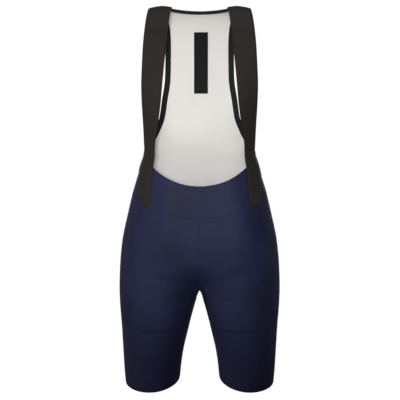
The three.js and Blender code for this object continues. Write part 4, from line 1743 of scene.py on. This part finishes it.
@dataclass(frozen=True)
class PatchFinish:
    """Plain black woven patch with a turned edge, painted darker round the border as shade."""

    name: str = "patch_black"
    face: Colour = linear(24, 23, 23)
    # Dark of the weave, also used for the painted shade at the turned edge.
    fold: Colour = linear(13, 13, 13)
    thread: float = 0.0009

    def material(self) -> bpy.types.Material:
        """The material.

        Returns:
            The finished material.
        """
        graph = Graph(self.name)
        across, along = graph.cloth_uv()
        turn = 2 * math.pi / self.thread
        weave = (across * turn).wave() * (along * turn).wave()
        cloud = graph.noise(16.0)
        # Painted shade: darker round the turned edge, mixed with the weave.
        base = graph.mix(weave * 0.3 + graph.edge() * 0.5, self.face, self.fold)
        return graph.surface({
            "Base Color": base,
            "Roughness": cloud * 0.12 + 0.66,
            "Specular IOR Level": 0.12,
            "Normal": graph.bump(weave, 0.00012, 0.4),
        })


@dataclass(frozen=True)
class ThreadFinish:
    """Spun sewing thread with a slight twist of light and dark."""

    name: str
    light: Colour
    dark: Colour
    twist: float = 0.0007

    def material(self) -> bpy.types.Material:
        """The material.

        Returns:
            The finished material.
        """
        graph = Graph(self.name)
        across, _ = graph.cloth_uv()
        twist = (across * (2 * math.pi / self.twist)).wave()
        cloud = graph.noise(60.0)
        return graph.surface({
            "Base Color": graph.mix(twist * 0.5 + cloud * 0.3, self.light, self.dark),
            "Roughness": cloud * 0.15 + 0.55,
            "Specular IOR Level": 0.35,
            "Sheen Weight": 0.1,
        })


@dataclass(frozen=True)
class Light:
    """An area light aimed at a point of the garment."""

    name: str
    place: tuple[float, float, float]
    aim: tuple[float, float, float]
    size: tuple[float, float]
    power: float
    colour: Colour = (1.0, 1.0, 1.0)

    def build(self) -> None:
        """Adds the light."""
        lamp = bpy.data.lights.new(self.name, "AREA")
        lamp.shape = "RECTANGLE"
        lamp.size, lamp.size_y = self.size
        lamp.energy = self.power
        lamp.color = self.colour
        self.link(lamp)

    def link(self, lamp: bpy.types.Light) -> None:
        """Puts the lamp in its place, aimed at its target.

        Args:
            lamp: The lamp's data.
        """
        thing = bpy.data.objects.new(self.name, lamp)
        thing.location = self.place
        thing.rotation_euler = (Vector(self.aim) - Vector(self.place)).to_track_quat("-Z", "Y").to_euler()
        bpy.context.scene.collection.objects.link(thing)


@dataclass(frozen=True)
class Spotlight(Light):
    """A lamp with a soft-edged cone; size holds the radius of the lamp and the cone's angle in degrees."""

    def build(self) -> None:
        """Adds the lamp."""
        lamp = bpy.data.lights.new(self.name, "SPOT")
        lamp.shadow_soft_size = self.size[0]
        lamp.spot_size = math.radians(self.size[1])
        lamp.spot_blend = 1.0
        lamp.energy = self.power
        lamp.color = self.colour
        self.link(lamp)


@dataclass(frozen=True)
class Studio:
    """Pale floor at a wearer's feet, white backdrop all round, soft lamps and the photograph's camera."""

    distance: float = 2.8
    elevation: float = 7.0
    target: tuple[float, float, float] = (0.0008, 0.0, -0.421)
    lens: float = 114.5
    floor_height: float = -1.4
    floor_radius: float = 1.65
    backdrop_radius: float = 9.0
    surroundings: float = 0.1
    lights: tuple[Light, ...] = (
        Spotlight("key", (-0.06, -2.8, 0.0), (0.0, 0.0, -0.255), (0.16, 25.2), 250.0),
        Light("fill", (1.1, -1.6, 0.6), (0.0, 0.0, -0.25), (1.0, 1.0), 2.0),
        Light("strip_left", (-1.5, -1.0, -0.65), (0.0, 0.0, -0.6), (0.2, 0.6), 9.0),
        Spotlight("low", (0.05, -2.2, -1.1), (0.0, 0.0, -0.55), (0.3, 12.0), 20.0),
        Light("top", (0.0, -0.7, 1.5), (0.0, 0.0, 0.0), (1.2, 1.0), 6.0),
        Light("rim_left", (-1.3, 0.7, -0.3), (0.0, 0.0, -0.6), (0.5, 1.2), 0.8),
        Light("rim_right", (1.3, 0.7, -0.3), (0.0, 0.0, -0.6), (0.5, 1.2), 0.8),
        Light("back_left", (-0.5, 2.6, -0.1), (0.0, 0.0, -0.45), (1.0, 1.4), 34.0),
        Light("back_right", (0.6, 2.5, -0.3), (0.0, 0.0, -0.45), (0.8, 1.4), 20.0),
    )

    def floor(self) -> None:
        """Round pale floor."""
        bpy.ops.mesh.primitive_cylinder_add(vertices=128, radius=self.floor_radius, depth=0.02)
        thing = bpy.context.object
        thing.name = "floor"
        thing.location.z = self.floor_height - 0.01
        graph = Graph("floor_pale")
        tone = graph.mix(graph.noise(2.0) * 0.3, (0.8, 0.8, 0.79), (0.74, 0.74, 0.735))
        thing.data.materials.append(graph.surface({
            "Base Color": tone,
            "Roughness": 0.85,
            "Specular IOR Level": 0.2,
            "Emission Color": (1.0, 1.0, 0.99, 1.0),
            "Emission Strength": 0.5,
        }))
        thing.visible_diffuse = thing.visible_glossy = False

    def backdrop(self) -> None:
        """White shell round the studio that shows behind the garment and sends no light to it."""
        bpy.ops.mesh.primitive_uv_sphere_add(segments=48, ring_count=24, radius=self.backdrop_radius)
        thing = bpy.context.object
        thing.name = "backdrop"
        graph = Graph("backdrop_white")
        graph.surface({
            "Base Color": (0.0, 0.0, 0.0, 1.0),
            "Specular IOR Level": 0.0,
            "Emission Color": (1.0, 1.0, 1.0, 1.0),
            "Emission Strength": 1.02,
        })
        thing.data.materials.append(graph.material)
        thing.visible_diffuse = thing.visible_glossy = thing.visible_transmission = thing.visible_shadow = False

    def world(self) -> None:
        """Even light from all round."""
        world = bpy.data.worlds.new("studio")
        world.use_nodes = True
        background = world.node_tree.nodes["Background"]
        background.inputs["Color"].default_value = (1.0, 1.0, 1.0, 1.0)
        background.inputs["Strength"].default_value = self.surroundings
        bpy.context.scene.world = world

    def camera(self) -> None:
        """The photograph's camera: straight in front, a little above."""
        rise = math.radians(self.elevation)
        away = Vector((0, -math.cos(rise), math.sin(rise))) * self.distance
        lens = bpy.data.cameras.new("camera")
        lens.lens = self.lens
        lens.sensor_width = 36.0
        lens.sensor_fit = "HORIZONTAL"
        lens.dof.use_dof = False
        thing = bpy.data.objects.new("camera", lens)
        thing.location = Vector(self.target) + away
        thing.rotation_euler = (-away).to_track_quat("-Z", "Y").to_euler()
        bpy.context.scene.collection.objects.link(thing)
        bpy.context.scene.camera = thing

    def build(self) -> None:
        """Adds everything."""
        self.floor()
        self.backdrop()
        self.world()
        self.camera()
        for light in self.lights:
            light.build()
        bpy.context.scene.view_settings.view_transform = "Standard"
        bpy.context.scene.view_settings.look = "None"


def main() -> None:
    """Builds the garment, its seams and the studio."""
    logging.basicConfig(level=logging.INFO, format="%(name)s: %(message)s")
    body = BodyForm()
    garment = Garment(body, CreaseField(body, CREASES))
    binding = BindingFinish().material()
    panels = ShortsPanels(garment, LycraFinish().material())
    panels.build()
    back = UpperBack(garment, MeshFinish().material(), binding, PatchFinish().material())
    back.build()
    straps = Straps(garment, ElasticFinish().material())
    straps.build()
    navy = ThreadFinish("thread_navy", linear(30, 32, 50), linear(15, 16, 27)).material()
    black = ThreadFinish("thread_black", linear(46, 44, 42), linear(22, 21, 21)).material()
    Stitching(garment, navy).build(panels, back, straps, black)
    Studio().build()
    LOG.info("pieces: %d", len(garment.made))


if __name__ == "__main__":
    main()
